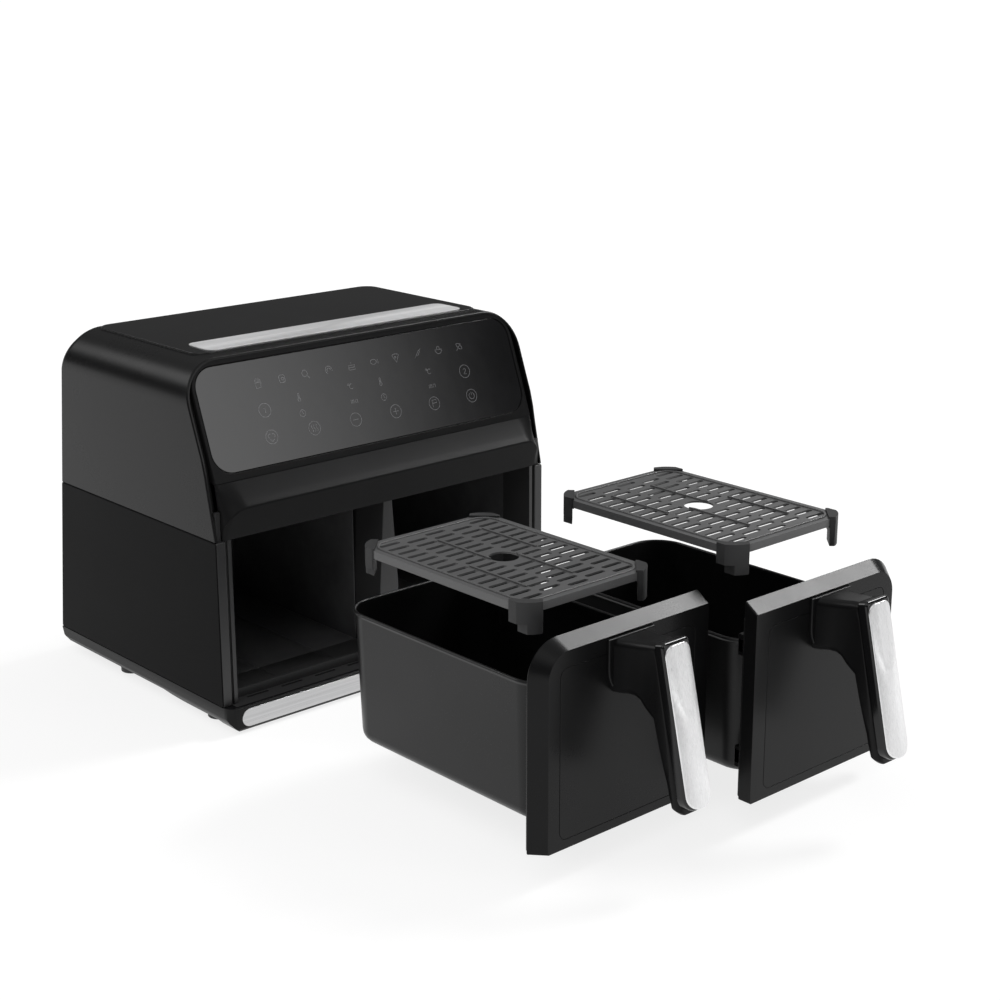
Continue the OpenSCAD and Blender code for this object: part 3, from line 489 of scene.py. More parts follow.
def fill_crowned(bm, verts, ring, mid, half, crown, high, place):
    """Fills a crowned top between its left and right runs with a few lengthwise strips."""
    count = len(ring)
    strips = 8
    left = min(range(count), key=lambda i: (ring[i][0], ring[i][1]))
    order = [(left + i) % count for i in range(count)]
    half_count = count // 2
    top = [order[i] for i in range(half_count + 1)]
    bottom = [order[-i % count] for i in range(half_count + 1)]
    rows = [[verts[i] for i in top]]
    for s in range(1, strips):
        t = s / strips
        row = []
        for a, b in zip(top[1:-1], bottom[1:-1]):
            x = ring[a][0] * (1 - t) + ring[b][0] * t
            y = ring[a][1] * (1 - t) + ring[b][1] * t
            row.append(bm.verts.new(place(x, y, high + crown * (1 - ((x - mid) / half) ** 2))))
        rows.append([verts[top[0]]] + row + [verts[top[-1]]])
    rows.append([verts[i] for i in bottom])
    for a, b in zip(rows, rows[1:]):
        for j in range(len(a) - 1):
            face = []
            for v in (a[j], a[j + 1], b[j + 1], b[j]):
                if v not in face:
                    face.append(v)
            if len(face) > 2:
                bm.faces.new(face)


def frame_slab(bm, outer, inner, low, high, place, r):
    """A flat frame between two outlines of equal count, with its four edges rounded."""
    rings = [[(x, y, low) for x, y in outer]]
    rings += [[(x, y, high + h) for x, y in inset(outer, d)] for d, h in fillet_steps(r)]
    rings += [[(x, y, high + h) for x, y in inset(inner, -d)] for d, h in reversed(fillet_steps(r))]
    rings += [[(x, y, low) for x, y in inner]]
    add_grid(bm, rings, place, closed_rows=True, closed_columns=True)


def refined(node, look, bevel, segments=2):
    """A CAD node rebuilt with clean flat faces and rounded edges."""
    bm = bmesh.new()
    bm.from_mesh(NODES[node].data)
    bmesh.ops.remove_doubles(bm, verts=bm.verts, dist=2e-6)
    bmesh.ops.dissolve_limit(bm, angle_limit=FLAT_ANGLE, verts=bm.verts, edges=bm.edges)
    add_piece(node + "_skin", bm, look, NODES[node]["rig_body"], (node,), bevel, segments)


# ---- housing ---------------------------------------------

# Thickness of the mouldings, and the radii of the shell's upper, top rear and upright rear edges
WALL = 2.6
EDGE_R = 38.0
BACK_R = 12.0
SIDE_BACK_R = 1.5
# The shell's front edge: its slope over the seam, where that blends into the glass's slope, its rounding
LOW_SLOPE = 0.215
BLEND_Z = 225
BLEND_H = 40
LIP_EDGE_R = 1.3
# How far the shell reaches in behind the rear cover
REAR_REACH = 27.0


def slope_y(z):
    """How far behind the front plane the side shell's leaning front edge is at a height."""
    on_glass = GLASS_Y + (z - GLASS_Z) * math.tan(LEAN)
    low = 0.5 + (z - SEAM_Z) * LOW_SLOPE
    blend = min(max((z - BLEND_Z) / BLEND_H, 0), 1)
    blend = blend * blend * (3 - 2 * blend)
    return low * (1 - blend) + (on_glass - 1.2) * blend


def shell_section(d, d_side):
    """Half hoop of the shell in front view, with its top moved inwards by d and its sides by d_side."""
    r = EDGE_R - d
    w = HALF_W - d_side
    top = TOP_Z - 0.2 - d
    points = []
    side_steps, steps, flat_steps = 8, 14, 6
    for k in range(side_steps):
        points.append((-w, SEAM_Z + 0.3 + (top - r - SEAM_Z - 0.3) * k / side_steps))
    for k in range(steps + 1):
        a = math.pi / 2 * k / steps
        points.append((-(HALF_W - d - r) - (r + d - d_side) * math.cos(a), top - r + r * math.sin(a)))
    for k in range(1, flat_steps):
        points.append(((HALF_W - EDGE_R) * (2 * k / flat_steps - 1), top))
    mirrored = [(-x, z) for x, z in reversed(points[:side_steps + steps + 1])]
    return points + mirrored


def build_shell():
    """Sides, top and back of the upper housing, as one loop round the wall for each place across."""
    bm = bmesh.new()
    loop = []
    for d, h in reversed(fillet_steps(LIP_EDGE_R, 3)):
        loop.append((d, -h, "front"))
    loop += [(0.0, t, "along") for t in (0.25, 0.5, 0.75)]
    for k in range(7):
        a = math.pi / 2 * k / 6
        loop.append((BACK_R * (1 - math.cos(a)), BACK_R * (1 - math.sin(a)), "round"))
    loop += [(REAR_REACH, 0.0, "rear"), (REAR_REACH, WALL, "rear"), (WALL + 3, WALL, "rear"),
             (WALL, WALL + 3, "rear")]
    loop += [(WALL, t, "back_along") for t in (0.6, 0.3)]
    loop.append((WALL, 0.0, "front"))
    sections = {}
    rows = []
    for d, t, kind in loop:
        key = (round(d, 4), kind == "round")
        if key not in sections:
            share = SIDE_BACK_R / BACK_R if kind == "round" else 1
            sections[key] = shell_section(min(d, EDGE_R - 2), min(d * share, EDGE_R - 2))
        row = []
        for x, z in sections[key]:
            front = slope_y(z)
            rear = rear_y(z)
            back = rear - BACK_R
            if kind == "front":
                y = front + t
            elif kind == "along":
                y = front + LIP_EDGE_R + (back - front - LIP_EDGE_R) * t
            elif kind == "back_along":
                y = front + (back - front) * t
            elif kind == "round":
                rise = min(max((z - (TOP_Z - EDGE_R)) / (EDGE_R - BACK_R), 0), 1)
                y = rear - t * (SIDE_BACK_R + (BACK_R - SIDE_BACK_R) * rise) / BACK_R
            else:
                y = rear - t
            row.append((x, y, z))
        rows.append(row)
    made = add_grid(bm, rows, at_housing, closed_rows=True)
    bm.faces.new([row[0] for row in made])
    bm.faces.new([row[-1] for row in reversed(made)])
    add_piece("upper_shell_skin", bm, "shell_black_painted_shade", "housing", ("upper_shell",))


def build_joint_returns():
    """Upright returns behind the lip's ends, which close the joint to the side shell; they are dark, painted
    shadow in the joint.
    """
    width = 13
    thick = 1.5
    behind = 6.5
    bm = bmesh.new()
    for mirror in (-1, 1):
        rows = []
        for k in range(13):
            z = SEAM_Z + 1 + (TOP_Z - width - SEAM_Z) * k / 12
            rise = max(z - (TOP_Z - 0.2 - EDGE_R), 0)
            wide = HALF_W - EDGE_R + math.sqrt((EDGE_R - 1.2) ** 2 - rise ** 2)
            depth = slope_y(z) + behind
            rows.append([(mirror * wide, depth, z), (mirror * (wide - width), depth, z),
                         (mirror * (wide - width), depth + thick, z), (mirror * wide, depth + thick, z)])
        add_tube(bm, rows, at_housing)
    add_piece("joint_returns", bm, "gap_shadow", "housing")


def build_side_panel(side):
    """Lower side panel: a sheet with rounded edges, and its turned-in rear and front edges."""
    mirror = 1 if side == "left" else -1
    bm = bmesh.new()
    foot = SIDE_Z + 0.3
    top = SEAM_Z - 0.5

    def turned_in(start, width):
        return boxed(-HALF_W + start, foot, -HALF_W + width, top, 1.2, 4)

    outline = corners([(0.0, foot, 2), (REAR, foot, 2), (rear_y(top), top, 2), (0.0, top, 2)], 6)
    slab(bm, outline, -HALF_W + WALL, -HALF_W, lambda y, z, x: at_housing(x * mirror, y, z), 0, 1.1)
    # the rear edge lies against the rear cover
    slab(bm, turned_in(0.4, 26), WALL, 0.1, lambda x, z, y: at_housing(x * mirror, rear_y(z) - y, z), 0, 0.5)
    add_piece(side + "_side_panel_skin", bm, "panel_black_painted_shade", "housing", (side + "_side_panel",))
    bm = bmesh.new()
    slab(bm, turned_in(0.5, 10), WALL, -0.1, lambda x, z, y: at_housing(x * mirror, y, z), 0, 0.8)
    add_piece(side + "_panel_return", bm, "sill_black_painted_light", "housing")


# The lip's crease in side view, the rounding of the crease's ends, and half the lip's width
LIP_Y = -9.0
LIP_Z = 209.0
LIP_CORNER = 22.0
LIP_HALF = HALF_W - 8
# Radius of the rounding at the lip's ends, for each point of its side view
LIP_END_R = (0, 1.2, 2, 3, 4, 5, 6, 6, 6, 6, 6, 5, 4, 2.5, 1.5, 1, 0, 0, 0)


def lip_profile(x):
    """Closed side view of the lip at one place across: awning, rounded crease, lintel, back."""
    run = max(abs(x) - (LIP_HALF - LIP_CORNER), 0)
    drop = LIP_CORNER - math.sqrt(max(LIP_CORNER ** 2 - run ** 2, 0))
    share = drop / LIP_CORNER
    crease = (LIP_Y + 6.8 * share, LIP_Z - drop)
    top = (GLASS_Y - 2.6, GLASS_Z - 6.6)
    lintel = (0.4 + 0.6 * share, SEAM_Z - 0.2)
    points = [(GLASS_Y + 5, GLASS_Z - 4.5), top]
    steps = 6
    for k in range(1, steps):
        t = k / steps
        sag = 1.1 * math.sin(math.pi * t)
        points.append((top[0] + (crease[0] - top[0]) * t + sag,
                       top[1] + (crease[1] - top[1]) * t + sag * 0.8))
    points += [(crease[0] + 0.55, crease[1] + 1.15), (crease[0] + 0.1, crease[1] + 0.4),
               (crease[0], crease[1] - 0.25), (crease[0] + 0.25, crease[1] - 1.3)]
    points += [(crease[0] + (lintel[0] - crease[0]) * t, crease[1] + (lintel[1] - crease[1]) * t)
               for t in (0.35, 0.7)]
    points += [(lintel[0] - 0.25, lintel[1] + 1.0), (lintel[0] + 0.1, lintel[1] + 0.25),
               (lintel[0] + 1.0, lintel[1])]
    points += [(5.4, SEAM_Z), (5.4, SEAM_Z + 4), (7.5, GLASS_Z - 12)]
    return points


# Bezel of the glass: half widths outside and inside, and how far it reaches past the glass
BEZEL_OUT = 187
BEZEL_IN = 183.3
BEZEL_BELOW = 7.5
BEZEL_OVER = 5.8
BEZEL_R = 27
GLASS_R = 20


def build_fascia():
    """Bezel round the glass, and the lip over the drawers."""
    bm = bmesh.new()
    top = GLASS_LEN + BEZEL_OVER
    outer = corners([(-BEZEL_OUT, -BEZEL_BELOW, 3), (BEZEL_OUT, -BEZEL_BELOW, 3),
                     (BEZEL_OUT, top, BEZEL_R), (-BEZEL_OUT, top, BEZEL_R)], 12)
    inner = boxed(-BEZEL_IN, -0.3, BEZEL_IN, GLASS_LEN + 0.3, GLASS_R, 12)
    frame_slab(bm, outer, inner, -9.0, 0.7, at_glass, 0.9)
    # places across the lip, close together where its ends are round
    places = [-LIP_HALF + gap for gap in (0, 0.15, 0.6, 1.4, 2.6, 4.2)]
    places += [-LIP_HALF + LIP_CORNER * (1 - math.cos(math.pi / 2 * k / 10)) for k in range(5, 11)]
    places = sorted(set(round(p, 3) for p in places))
    inner_steps = 8
    flat = LIP_HALF - LIP_CORNER
    places += [-flat + 2 * flat * k / inner_steps for k in range(1, inner_steps)]
    places += [-p for p in reversed([p for p in places if p <= -flat + 0.001])]
    rows = []
    for x in places:
        profile = lip_profile(x)
        gap = max(LIP_HALF - abs(x), 0)
        full = inset(profile, 1.0)
        row = []
        for (y, z), (fy, fz), r in zip(profile, full, LIP_END_R):
            d = r - math.sqrt(r ** 2 - (r - gap) ** 2) if gap < r else 0
            row.append((x, y + (fy - y) * d, z + (fz - z) * d))
        rows.append(row)
    made = add_grid(bm, rows, at_housing, closed_columns=True)
    bm.faces.new(made[0])
    bm.faces.new(list(reversed(made[-1])))
    add_piece("front_fascia_skin", bm, "fascia_black_painted_light", "housing", ("front_fascia",))


def build_glass():
    """Touch glass in its bezel."""
    bm = bmesh.new()
    slab(bm, rounded(GLASS_W, GLASS_LEN, GLASS_R, 14, 0, GLASS_LEN / 2), -GLASS_T, 0.0, at_glass, 0, 0.5)
    add_piece("touch_glass_panel", bm, "touch_glass", "housing", ("control_glass",))


def build_top():
    """Lid panel, a dark ring round it painted as the shadow in its gap, and the brushed strip in it."""
    lid_r = 14
    low, high = lowest("top_lid_panel"), highest("top_lid_panel")
    cy = (low.y + high.y) / 2 - FRONT
    w, l = high.x - low.x, high.y - low.y
    bm = bmesh.new()
    slab(bm, rounded(w, l, lid_r, 10, 0, cy), low.z, high.z, at_housing, 0, 0.6)
    add_piece("top_lid_panel_skin", bm, "gloss_black_plastic", "housing", ("top_lid_panel",))
    # dark ring round the lid: painted shadow of the gap
    bm = bmesh.new()
    gap_out, gap_in = [rounded(w + 2 * gap, l + 2 * gap, lid_r + gap, 10, 0, cy) for gap in (1.2, 0.1)]
    frame_slab(bm, gap_out, gap_in, TOP_Z - 2.0, TOP_Z - 0.12, at_housing, 0.05)
    add_piece("top_lid_gap", bm, "gap_shadow", "housing")
    low, high = lowest("top_trim_strip"), highest("top_trim_strip")
    cy = (low.y + high.y) / 2 - FRONT
    bm = bmesh.new()
    slab(bm, rounded(high.x - low.x, high.y - low.y, 9, 8, 0, cy), low.z, high.z + 0.3, at_housing, 0, 0.35)
    add_piece("top_trim_strip_skin", bm, "brushed_top_painted_light", "housing", ("top_trim_strip",))


def build_base():
    """Tray, sill and pads from their CAD nodes, and the brushed strip on the nose."""
    refined("base_tray", "satin_black_plastic", 1.2, 3)
    refined("front_sill", "sill_black_painted_light", 0.5)
    low, high = lowest("base_trim_strip"), highest("base_trim_strip")
    cz = (low.z + high.z) / 2
    bm = bmesh.new()
    slab(bm, rounded(high.x - low.x, high.z - low.z, 8.4, 8, 0, cz), high.y - FRONT,
         low.y - FRONT - 0.3, upright(at_housing), 0, 0.3)
    add_piece("base_trim_strip_skin", bm, "brushed_trim", "housing", ("base_trim_strip",))
    refined("rubber_feet", "silicone", 0.8, 3)


# ---- symbols on the touch panel --------------------------

STROKE = 0.55
# Rows of symbols up the glass from its lower edge, and half the width of the rows
PROGRAM_ROW = 73.8
THERMOMETER_ROW = 54.5
DRAWER_ROW = 48.8
CLOCK_ROW = 39.5
BUTTON_ROW = 24.2
PROGRAM_HALF = 118.5
BUTTON_HALF = 117.5
DRAWER_HALF = 118
BUTTON_R = 6.3


def stroke(bm, points, closed=False):
    """A printed line through points of the panel, with a little thickness over the glass."""
    count = len(points)
    left, right = [], []
    for i in range(count):
        p = Vector(points[i])
        a = Vector(points[i - 1]) if i or closed else p
        b = Vector(points[(i + 1) % count]) if i < count - 1 or closed else p
        along = (b - a).normalized()
        n = Vector((-along.y, along.x)) * STROKE / 2
        left.append(p + n)
        right.append(p - n)
    rows = [[(q.x, q.y, 0.005) for q in left], [(q.x, q.y, 0.05) for q in left],
            [(q.x, q.y, 0.05) for q in right], [(q.x, q.y, 0.005) for q in right]]
    made = add_grid(bm, rows, at_glass, closed_rows=True, closed_columns=closed)
    if not closed:
        bm.faces.new([row[0] for row in made])
        bm.faces.new([row[-1] for row in reversed(made)])


def arc(cx, cy, r, start, end, count=24):
    """Points of an arc round a centre, between two angles in degrees."""
    angles = [math.radians(start + (end - start) * k / count) for k in range(count + 1)]
    return [(cx + r * math.cos(a), cy + r * math.sin(a)) for a in angles]


def ring(bm, cx, cy, r):
    """A printed circle."""
    stroke(bm, arc(cx, cy, r, 0, 360, 36)[:-1], True)


def lines(bm, cx, cy, *runs):
    """Strokes through runs of points that are counted from a centre."""
    for run in runs:
        stroke(bm, [(cx + x, cy + y) for x, y in run])


def program_symbols(bm, u, v, step):
    """Ten little pictures of food, drawn with plain strokes."""
    turns = [k * math.pi / 14 for k in range(28)]

    def at(i):
        return u + i * step

    # chips in a carton
    x = at(0)
    lines(bm, x, v, [(-3.4, 0.5), (-2.4, -4.4), (2.4, -4.4), (3.4, 0.5)], [(-3.4, 0.5), (3.4, 0.5)])
    for k, top in enumerate((3.4, 4.6, 4.0, 4.8, 3.2)):
        lines(bm, x, v, [(-2.8 + 1.4 * k, 0.9), (-2.8 + 1.4 * k, top)])
    # chop
    x = at(1)
    stroke(bm, [(x + 4.2 * math.cos(a) * (1 - 0.28 * math.cos(2 * a)), v + 3.6 * math.sin(a))
                for a in turns], True)
    ring(bm, x + 0.6, v, 1.3)
    # drumstick
    x = at(2)
    ring(bm, x - 0.9, v + 1.0, 2.9)
    lines(bm, x, v, [(1.2, -1.1), (3.6, -3.6)], [(2.9, -4.1), (4.1, -3.1)])
    # prawn
    x = at(3)
    stroke(bm, arc(x, v, 3.7, -20, 240))
    stroke(bm, arc(x, v, 1.9, 0, 220))
    # cake
    x = at(4)
    lines(bm, x, v, [(-3.6, -3.6), (3.6, -3.6), (3.6, 0.6), (-3.6, 0.6), (-3.6, -3.6)],
          [(-3.6, -1.4), (3.6, -1.4)], [(0, 0.6), (0, 3.6)])
    # fish
    x = at(5)
    stroke(bm, [(x - 0.6 + 3.4 * math.cos(a), v + 2.3 * math.sin(a)) for a in turns], True)
    lines(bm, x, v, [(2.8, 0), (4.7, 2.2), (4.7, -2.2), (2.8, 0)])
    # pizza slice
    x = at(6)
    lines(bm, x, v, [(-4.0, 2.6), (0, -4.4), (4.0, 2.6)])
    stroke(bm, arc(x, v - 4.4, 8.1, 60, 120))
    ring(bm, x - 0.6, v + 0.6, 0.8)
    # carrot
    x = at(7)
    lines(bm, x, v, [(2.4, 3.2), (-3.8, -4.0), (0.6, -1.4), (3.4, 1.8), (2.4, 3.2)], [(3.0, 2.6), (4.6, 4.6)])
    # egg in a bowl
    x = at(8)
    stroke(bm, arc(x, v + 0.4, 4.0, 180, 360))
    lines(bm, x, v, [(-4.4, 0.4), (4.4, 0.4)])
    ring(bm, x, v + 1.9, 1.7)
    # leaf
    x = at(9)
    stroke(bm, arc(x - 2.2, v - 2.2, 5.2, -12, 102))
    stroke(bm, arc(x + 2.2, v + 2.2, 5.2, 168, 282))
    lines(bm, x, v, [(-4.0, -4.0), (2.4, 2.4)])


def digit(bm, x, y, kind):
    """The number 1 or 2."""
    if kind == 1:
        lines(bm, x, y, [(-1.1, 1.4), (0.4, 2.6), (0.4, -2.6)])
    else:
        stroke(bm, arc(x, y + 1.2, 1.5, 170, -20, 12) + [(x - 1.6, y - 2.6), (x + 1.7, y - 2.6)])


def thermometer(bm, x, y):
    """Bulb, tube and column."""
    stroke(bm, arc(x, y - 2.2, 1.5, 120, 420) + arc(x, y + 2.8, 0.75, 0, 180, 8) + [(x - 0.75, y - 0.9)])
    lines(bm, x, y, [(0, -2.2), (0, 1.6)])


def clock(bm, x, y):
    """Dial with two hands."""
    ring(bm, x, y, 3.1)
    lines(bm, x, y, [(0, 1.9), (0, 0), (1.5, -0.7)])


def build_symbols():
    """All the symbols on the glass, as one piece."""
    bm = bmesh.new()
    columns = 10
    program_symbols(bm, -PROGRAM_HALF, PROGRAM_ROW, 2 * PROGRAM_HALF / (columns - 1))
    for x, kind in ((-DRAWER_HALF, 1), (DRAWER_HALF, 2)):
        ring(bm, x, DRAWER_ROW, BUTTON_R)
        digit(bm, x, DRAWER_ROW, kind)
    for x in (-79, 15):
        thermometer(bm, x, THERMOMETER_ROW)
        clock(bm, x, CLOCK_ROW)
        # degree sign and a small unit mark, then a minutes mark
        ring(bm, x + 57.0, 57.2, 0.8)
        stroke(bm, arc(x + 60.2, 55.2, 2.3, 50, 310))
        lines(bm, x + 59, 41, [(-3.2, -1.8), (-3.2, 1.4), (-1.6, 1.4), (-1.6, -1.8)],
              [(-1.6, 1.4), (0, 1.4), (0, -1.8)], [(2.0, -1.8), (2.0, 1.4), (4.2, 1.4), (4.2, -1.8)])
    row = BUTTON_ROW
    places = [-BUTTON_HALF + k * 47.4 for k in range(6)]
    for x in places:
        ring(bm, x, row, BUTTON_R)
    fan, heat, less, more, flag, power = places
    for a in (30, 150, 270):
        turn = math.radians(a)
        stroke(bm, arc(fan + 1.9 * math.cos(turn), row + 1.9 * math.sin(turn), 1.9, a - 90, a + 90, 10))
    for k in range(3):
        stroke(bm, [(heat - 2.6 + 2.6 * k + 0.7 * math.sin(t), row - 3.2 + t)
                    for t in [s * 0.8 for s in range(9)]])
    lines(bm, less, row, [(-3.2, 0), (3.2, 0)])
    lines(bm, more, row, [(-3.2, 0), (3.2, 0)], [(0, -3.2), (0, 3.2)])
    lines(bm, flag, row, [(-2.2, -3.4), (-2.2, 3.4), (2.8, 3.4), (2.8, 0.4), (-2.2, 0.4)])
    stroke(bm, arc(power, row, 3.2, 120, 420))
    lines(bm, power, row, [(0, 0.6), (0, 3.8)])
    add_piece("panel_symbols", bm, "print", "housing")


# ---- drawers ---------------------------------------------

PANEL_FRONT = lowest("left_drawer_front").y - FRONT + TRAVEL["left"]
PANEL_BACK = highest("left_drawer_front").y - FRONT + TRAVEL["left"]
PANEL_OUT = lowest("left_drawer_front").x
PANEL_IN = highest("left_drawer_front").x
PANEL_LOW = lowest("left_drawer_front").z
PANEL_TOP = highest("left_drawer_front").z
# Width of the bevel at the side and on top, and the radius of the face's upper outer corner
BEVEL_X = 10.5
BEVEL_Z = 8.2
FACE_R = 21.0
HANDLE_X = (lowest("left_handle_trim").x + highest("left_handle_trim").x) / 2


def panel_outline(share):
    """Outline of the drawer front, from its back (share 0) to its face (share 1)."""
    x0 = PANEL_OUT + BEVEL_X * share
    z1 = PANEL_TOP - BEVEL_Z * share
    r = FACE_R + 8 * (1 - share)
    return corners([(x0, PANEL_LOW, 1.5), (PANEL_IN, PANEL_LOW, 1.5), (PANEL_IN, z1, 1.5), (x0, z1, r)], 10)


def build_drawer_front(side):
    """Bevelled cover with an engraved line round its face, and the leaf behind it."""
    place = drawer_place(side)
    bm = bmesh.new()
    rings = []

    def add(outline, y):
        rings.append([(x, y, z) for x, z in outline])

    add(inset(panel_outline(0), 0.7), PANEL_BACK)
    add(inset(panel_outline(0), 0.2), PANEL_BACK - 0.2)
    for share, y in ((0, PANEL_BACK - 0.7), (0.04, PANEL_BACK - 1.1), (0.93, PANEL_FRONT + 0.9),
                     (0.975, PANEL_FRONT + 0.38), (1.0, PANEL_FRONT + 0.1)):
        add(panel_outline(share), y)
    add(inset(panel_outline(1.0), 0.5), PANEL_FRONT)
    # fine groove round the face
    x0, x1 = PANEL_OUT + 22, PANEL_IN - 15
    z0, z1 = PANEL_LOW + 7.5, PANEL_TOP - 21

    def groove(d):
        return boxed(x0 + d, z0 + d, x1 - d, z1 - d, 8 - d, 10)

    for d, deep in ((-0.1, 0), (0.05, 0.08), (0.25, 0.45), (0.5, 0.45), (0.7, 0.08), (0.85, 0)):
        add(groove(d), PANEL_FRONT + deep)
    add_tube(bm, rings, place)
    body = side + "_drawer"
    add_piece(side + "_drawer_front_skin", bm, "satin_black_plastic", body, (side + "_drawer_front",))
    # the back half of the front shows as a second leaf along its edge
    bm = bmesh.new()
    x0, x1, z0 = PANEL_OUT + 1.6, PANEL_IN - 1.6, PANEL_LOW + 1.6
    z1 = highest("left_front_backing").z
    leaf = corners([(x0, z0, 1.5), (x1, z0, 1.5), (x1, z1, 1.5), (x0, z1, FACE_R + 6.5)], 10)
    slab(bm, leaf, PANEL_BACK - 2, PANEL_BACK + 2.2, upright(place), 0, 0.5)
    add_piece(side + "_front_backing_leaf", bm, "satin_black_plastic", body, (side + "_front_backing",))


# Lean of the grip, the top of its back line, its length, and how far it stands off the face
GRIP_LEAN = math.radians(13)
GRIP_Z = 187.0
GRIP_LEN = 129.0
GRIP_OFF = 38.0


def build_handle(side):
    """Boss, arm and grip, the gloss band round the grip, and its brushed face."""
    place = drawer_place(side)
    body = side + "_drawer"
    bm = bmesh.new()
    # boss on the face of the drawer: flat on top, round below
    half, low, top = 24.5, 135, PANEL_TOP - BEVEL_Z - 1.5
    boss = arc(HANDLE_X, low + half, half, 180, 360, 16) + [(HANDLE_X + half, top), (HANDLE_X - half, top)]
    slab(bm, boss, PANEL_FRONT + 0.3, PANEL_FRONT - 2.8, upright(place), 0, 1.3)
    # arm: each section spans from the upper line to the lower line of the side view
    back_y = PANEL_FRONT - GRIP_OFF

    def front_line(z):
        return back_y - (GRIP_Z - z) * math.tan(GRIP_LEAN)

    depth = 14.0
    sections = [((PANEL_FRONT + 1, 183.4), (PANEL_FRONT + 1, 139), 41),
                ((PANEL_FRONT - 6, 183.6), (PANEL_FRONT - 6, 139.6), 38),
                ((PANEL_FRONT - 14, 184.2), (PANEL_FRONT - 13, 140.6), 34),
                ((PANEL_FRONT - 23, 185.2), (PANEL_FRONT - 19, 140.2), 31),
                ((PANEL_FRONT - 31, 186.4), (PANEL_FRONT - 24, 137.5), 29),
                ((back_y, GRIP_Z), (PANEL_FRONT - 28.5, 132), 27.5)]
    bottom = 61.0
    z_front = 180.0
    z_back = 125.0
    for k in range(9):
        t = k / 8
        zf = z_front + (bottom - z_front) * t
        zb = z_back + (bottom + 3 - z_back) * t
        near = front_line(zb) + depth - 3.0 * t * t
        sections.append(((front_line(zf), zf), (near, zb), 27 - 1.0 * t))
    rings = []
    steps = 6
    for upper, lower, width in sections:
        a, b = Vector(upper), Vector(lower)
        length = (a - b).length
        along = (a - b).normalized()
        mid = (a + b) / 2
        r = min(6.5, length * 0.45)
        outline = rounded(width, length, r, steps)
        rings.append([(HANDLE_X + u, mid.x + along.x * v, mid.y + along.y * v) for u, v in outline])
    made = add_grid(bm, rings, place, closed_columns=True)
    last = rings[-1]
    shrunk = [(HANDLE_X + (x - HANDLE_X) * 0.8, y, z - 2.2) for x, y, z in last]
    tip = [bm.verts.new(place(*p)) for p in shrunk]
    for j in range(len(tip)):
        k = (j + 1) % len(tip)
        bm.faces.new((made[-1][j], made[-1][k], tip[k], tip[j]))
    bm.faces.new(tip)
    bm.faces.new(list(reversed(made[0])))
    add_piece(side + "_handle_arm_skin", bm, "satin_black_plastic", body, (side + "_handle_arm",))

    def on_grip(u, v, w):
        """u across, v down the grip from its top, w out of its front."""
        y = back_y - v * math.sin(GRIP_LEAN) - w * math.cos(GRIP_LEAN)
        z = GRIP_Z - v * math.cos(GRIP_LEAN) + w * math.sin(GRIP_LEAN)
        return place(HANDLE_X + u, y, z)

    def long_outline(half, top, bottom, r_top, r_bottom):
        return corners([(-half, top, r_top), (-half, bottom, r_bottom),
                        (half, bottom, r_bottom), (half, top, r_top)], 10)

    bm = bmesh.new()
    slab(bm, long_outline(14.6, -1.5, GRIP_LEN - 1, 4, 12), 0.6, 9.0, on_grip, 0.6, 2.2)
    add_piece(side + "_handle_cap_skin", bm, "gloss_black_plastic", body, (side + "_handle_cap",))
    bm = bmesh.new()
    slab(bm, long_outline(13.2, 1.2, GRIP_LEN - 2.2, 8, 11.5), 7.5, 9.6, on_grip, 0, 0.8, crown=2.4)
    add_piece(side + "_handle_trim_skin", bm, "brushed_grip_painted_light", body, (side + "_handle_trim",))


def build_basket(side):
    """Pressed pan: rounded floor edge, drafted walls and a rolled rim."""
    place = drawer_place(side)
    low, high = lowest("left_basket"), highest("left_basket")
    cx = (low.x + high.x) / 2
    cy = (low.y + high.y) / 2 - FRONT + TRAVEL["left"]
    w, l = high.x - low.x, high.y - low.y
    z0, z1 = low.z, high.z
    rim_w = 2
    draft = 3.5
    floor_in = 40
    floor_r = 11.0
    thick = 1.2
    roll = 1.5
    corner = 30
    # section of the wall, as its distance in from the rim's edge and its height
    profile = [(rim_w + draft + floor_in, z0)]

    def floor_round(r, inside):
        turns = [math.pi / 2 * k / 5 for k in range(6)]
        return [(rim_w + draft + inside + r * (1 - math.sin(a)), z0 + inside + r * (1 - math.cos(a)))
                for a in turns]

    profile += floor_round(floor_r, 0)
    profile += [(rim_w + draft * 0.5, (z0 + z1) / 2), (rim_w + 0.05, z1 - 5)]
    for k in range(9):
        a = math.radians(-60 + 240 * k / 8)
        profile.append((roll - roll * math.cos(a), z1 - roll + roll * math.sin(a)))
    profile += [(rim_w + thick, z1 - 3.5), (rim_w + draft * 0.5 + thick, (z0 + z1) / 2)]
    profile += reversed(floor_round(floor_r - thick, thick))
    profile.append((rim_w + draft + floor_in, z0 + thick))
    bm = bmesh.new()
    rings = []
    for d, z in profile:
        r = max(corner - d, 3)
        rings.append([(x, y, z) for x, y in rounded(w - 2 * d, l - 2 * d, r, 12, cx, cy)])
    add_tube(bm, rings, place)
    add_piece(side + "_basket_skin", bm, "nonstick_coating", side + "_drawer", (side + "_basket",))


PLATE_R = 22
# Height of the plate's ribs, and the bead's distance from the plate's edge and its width
PLATE_RIB = 1.2
BEAD_IN = 5.6
BEAD_W = 2.2


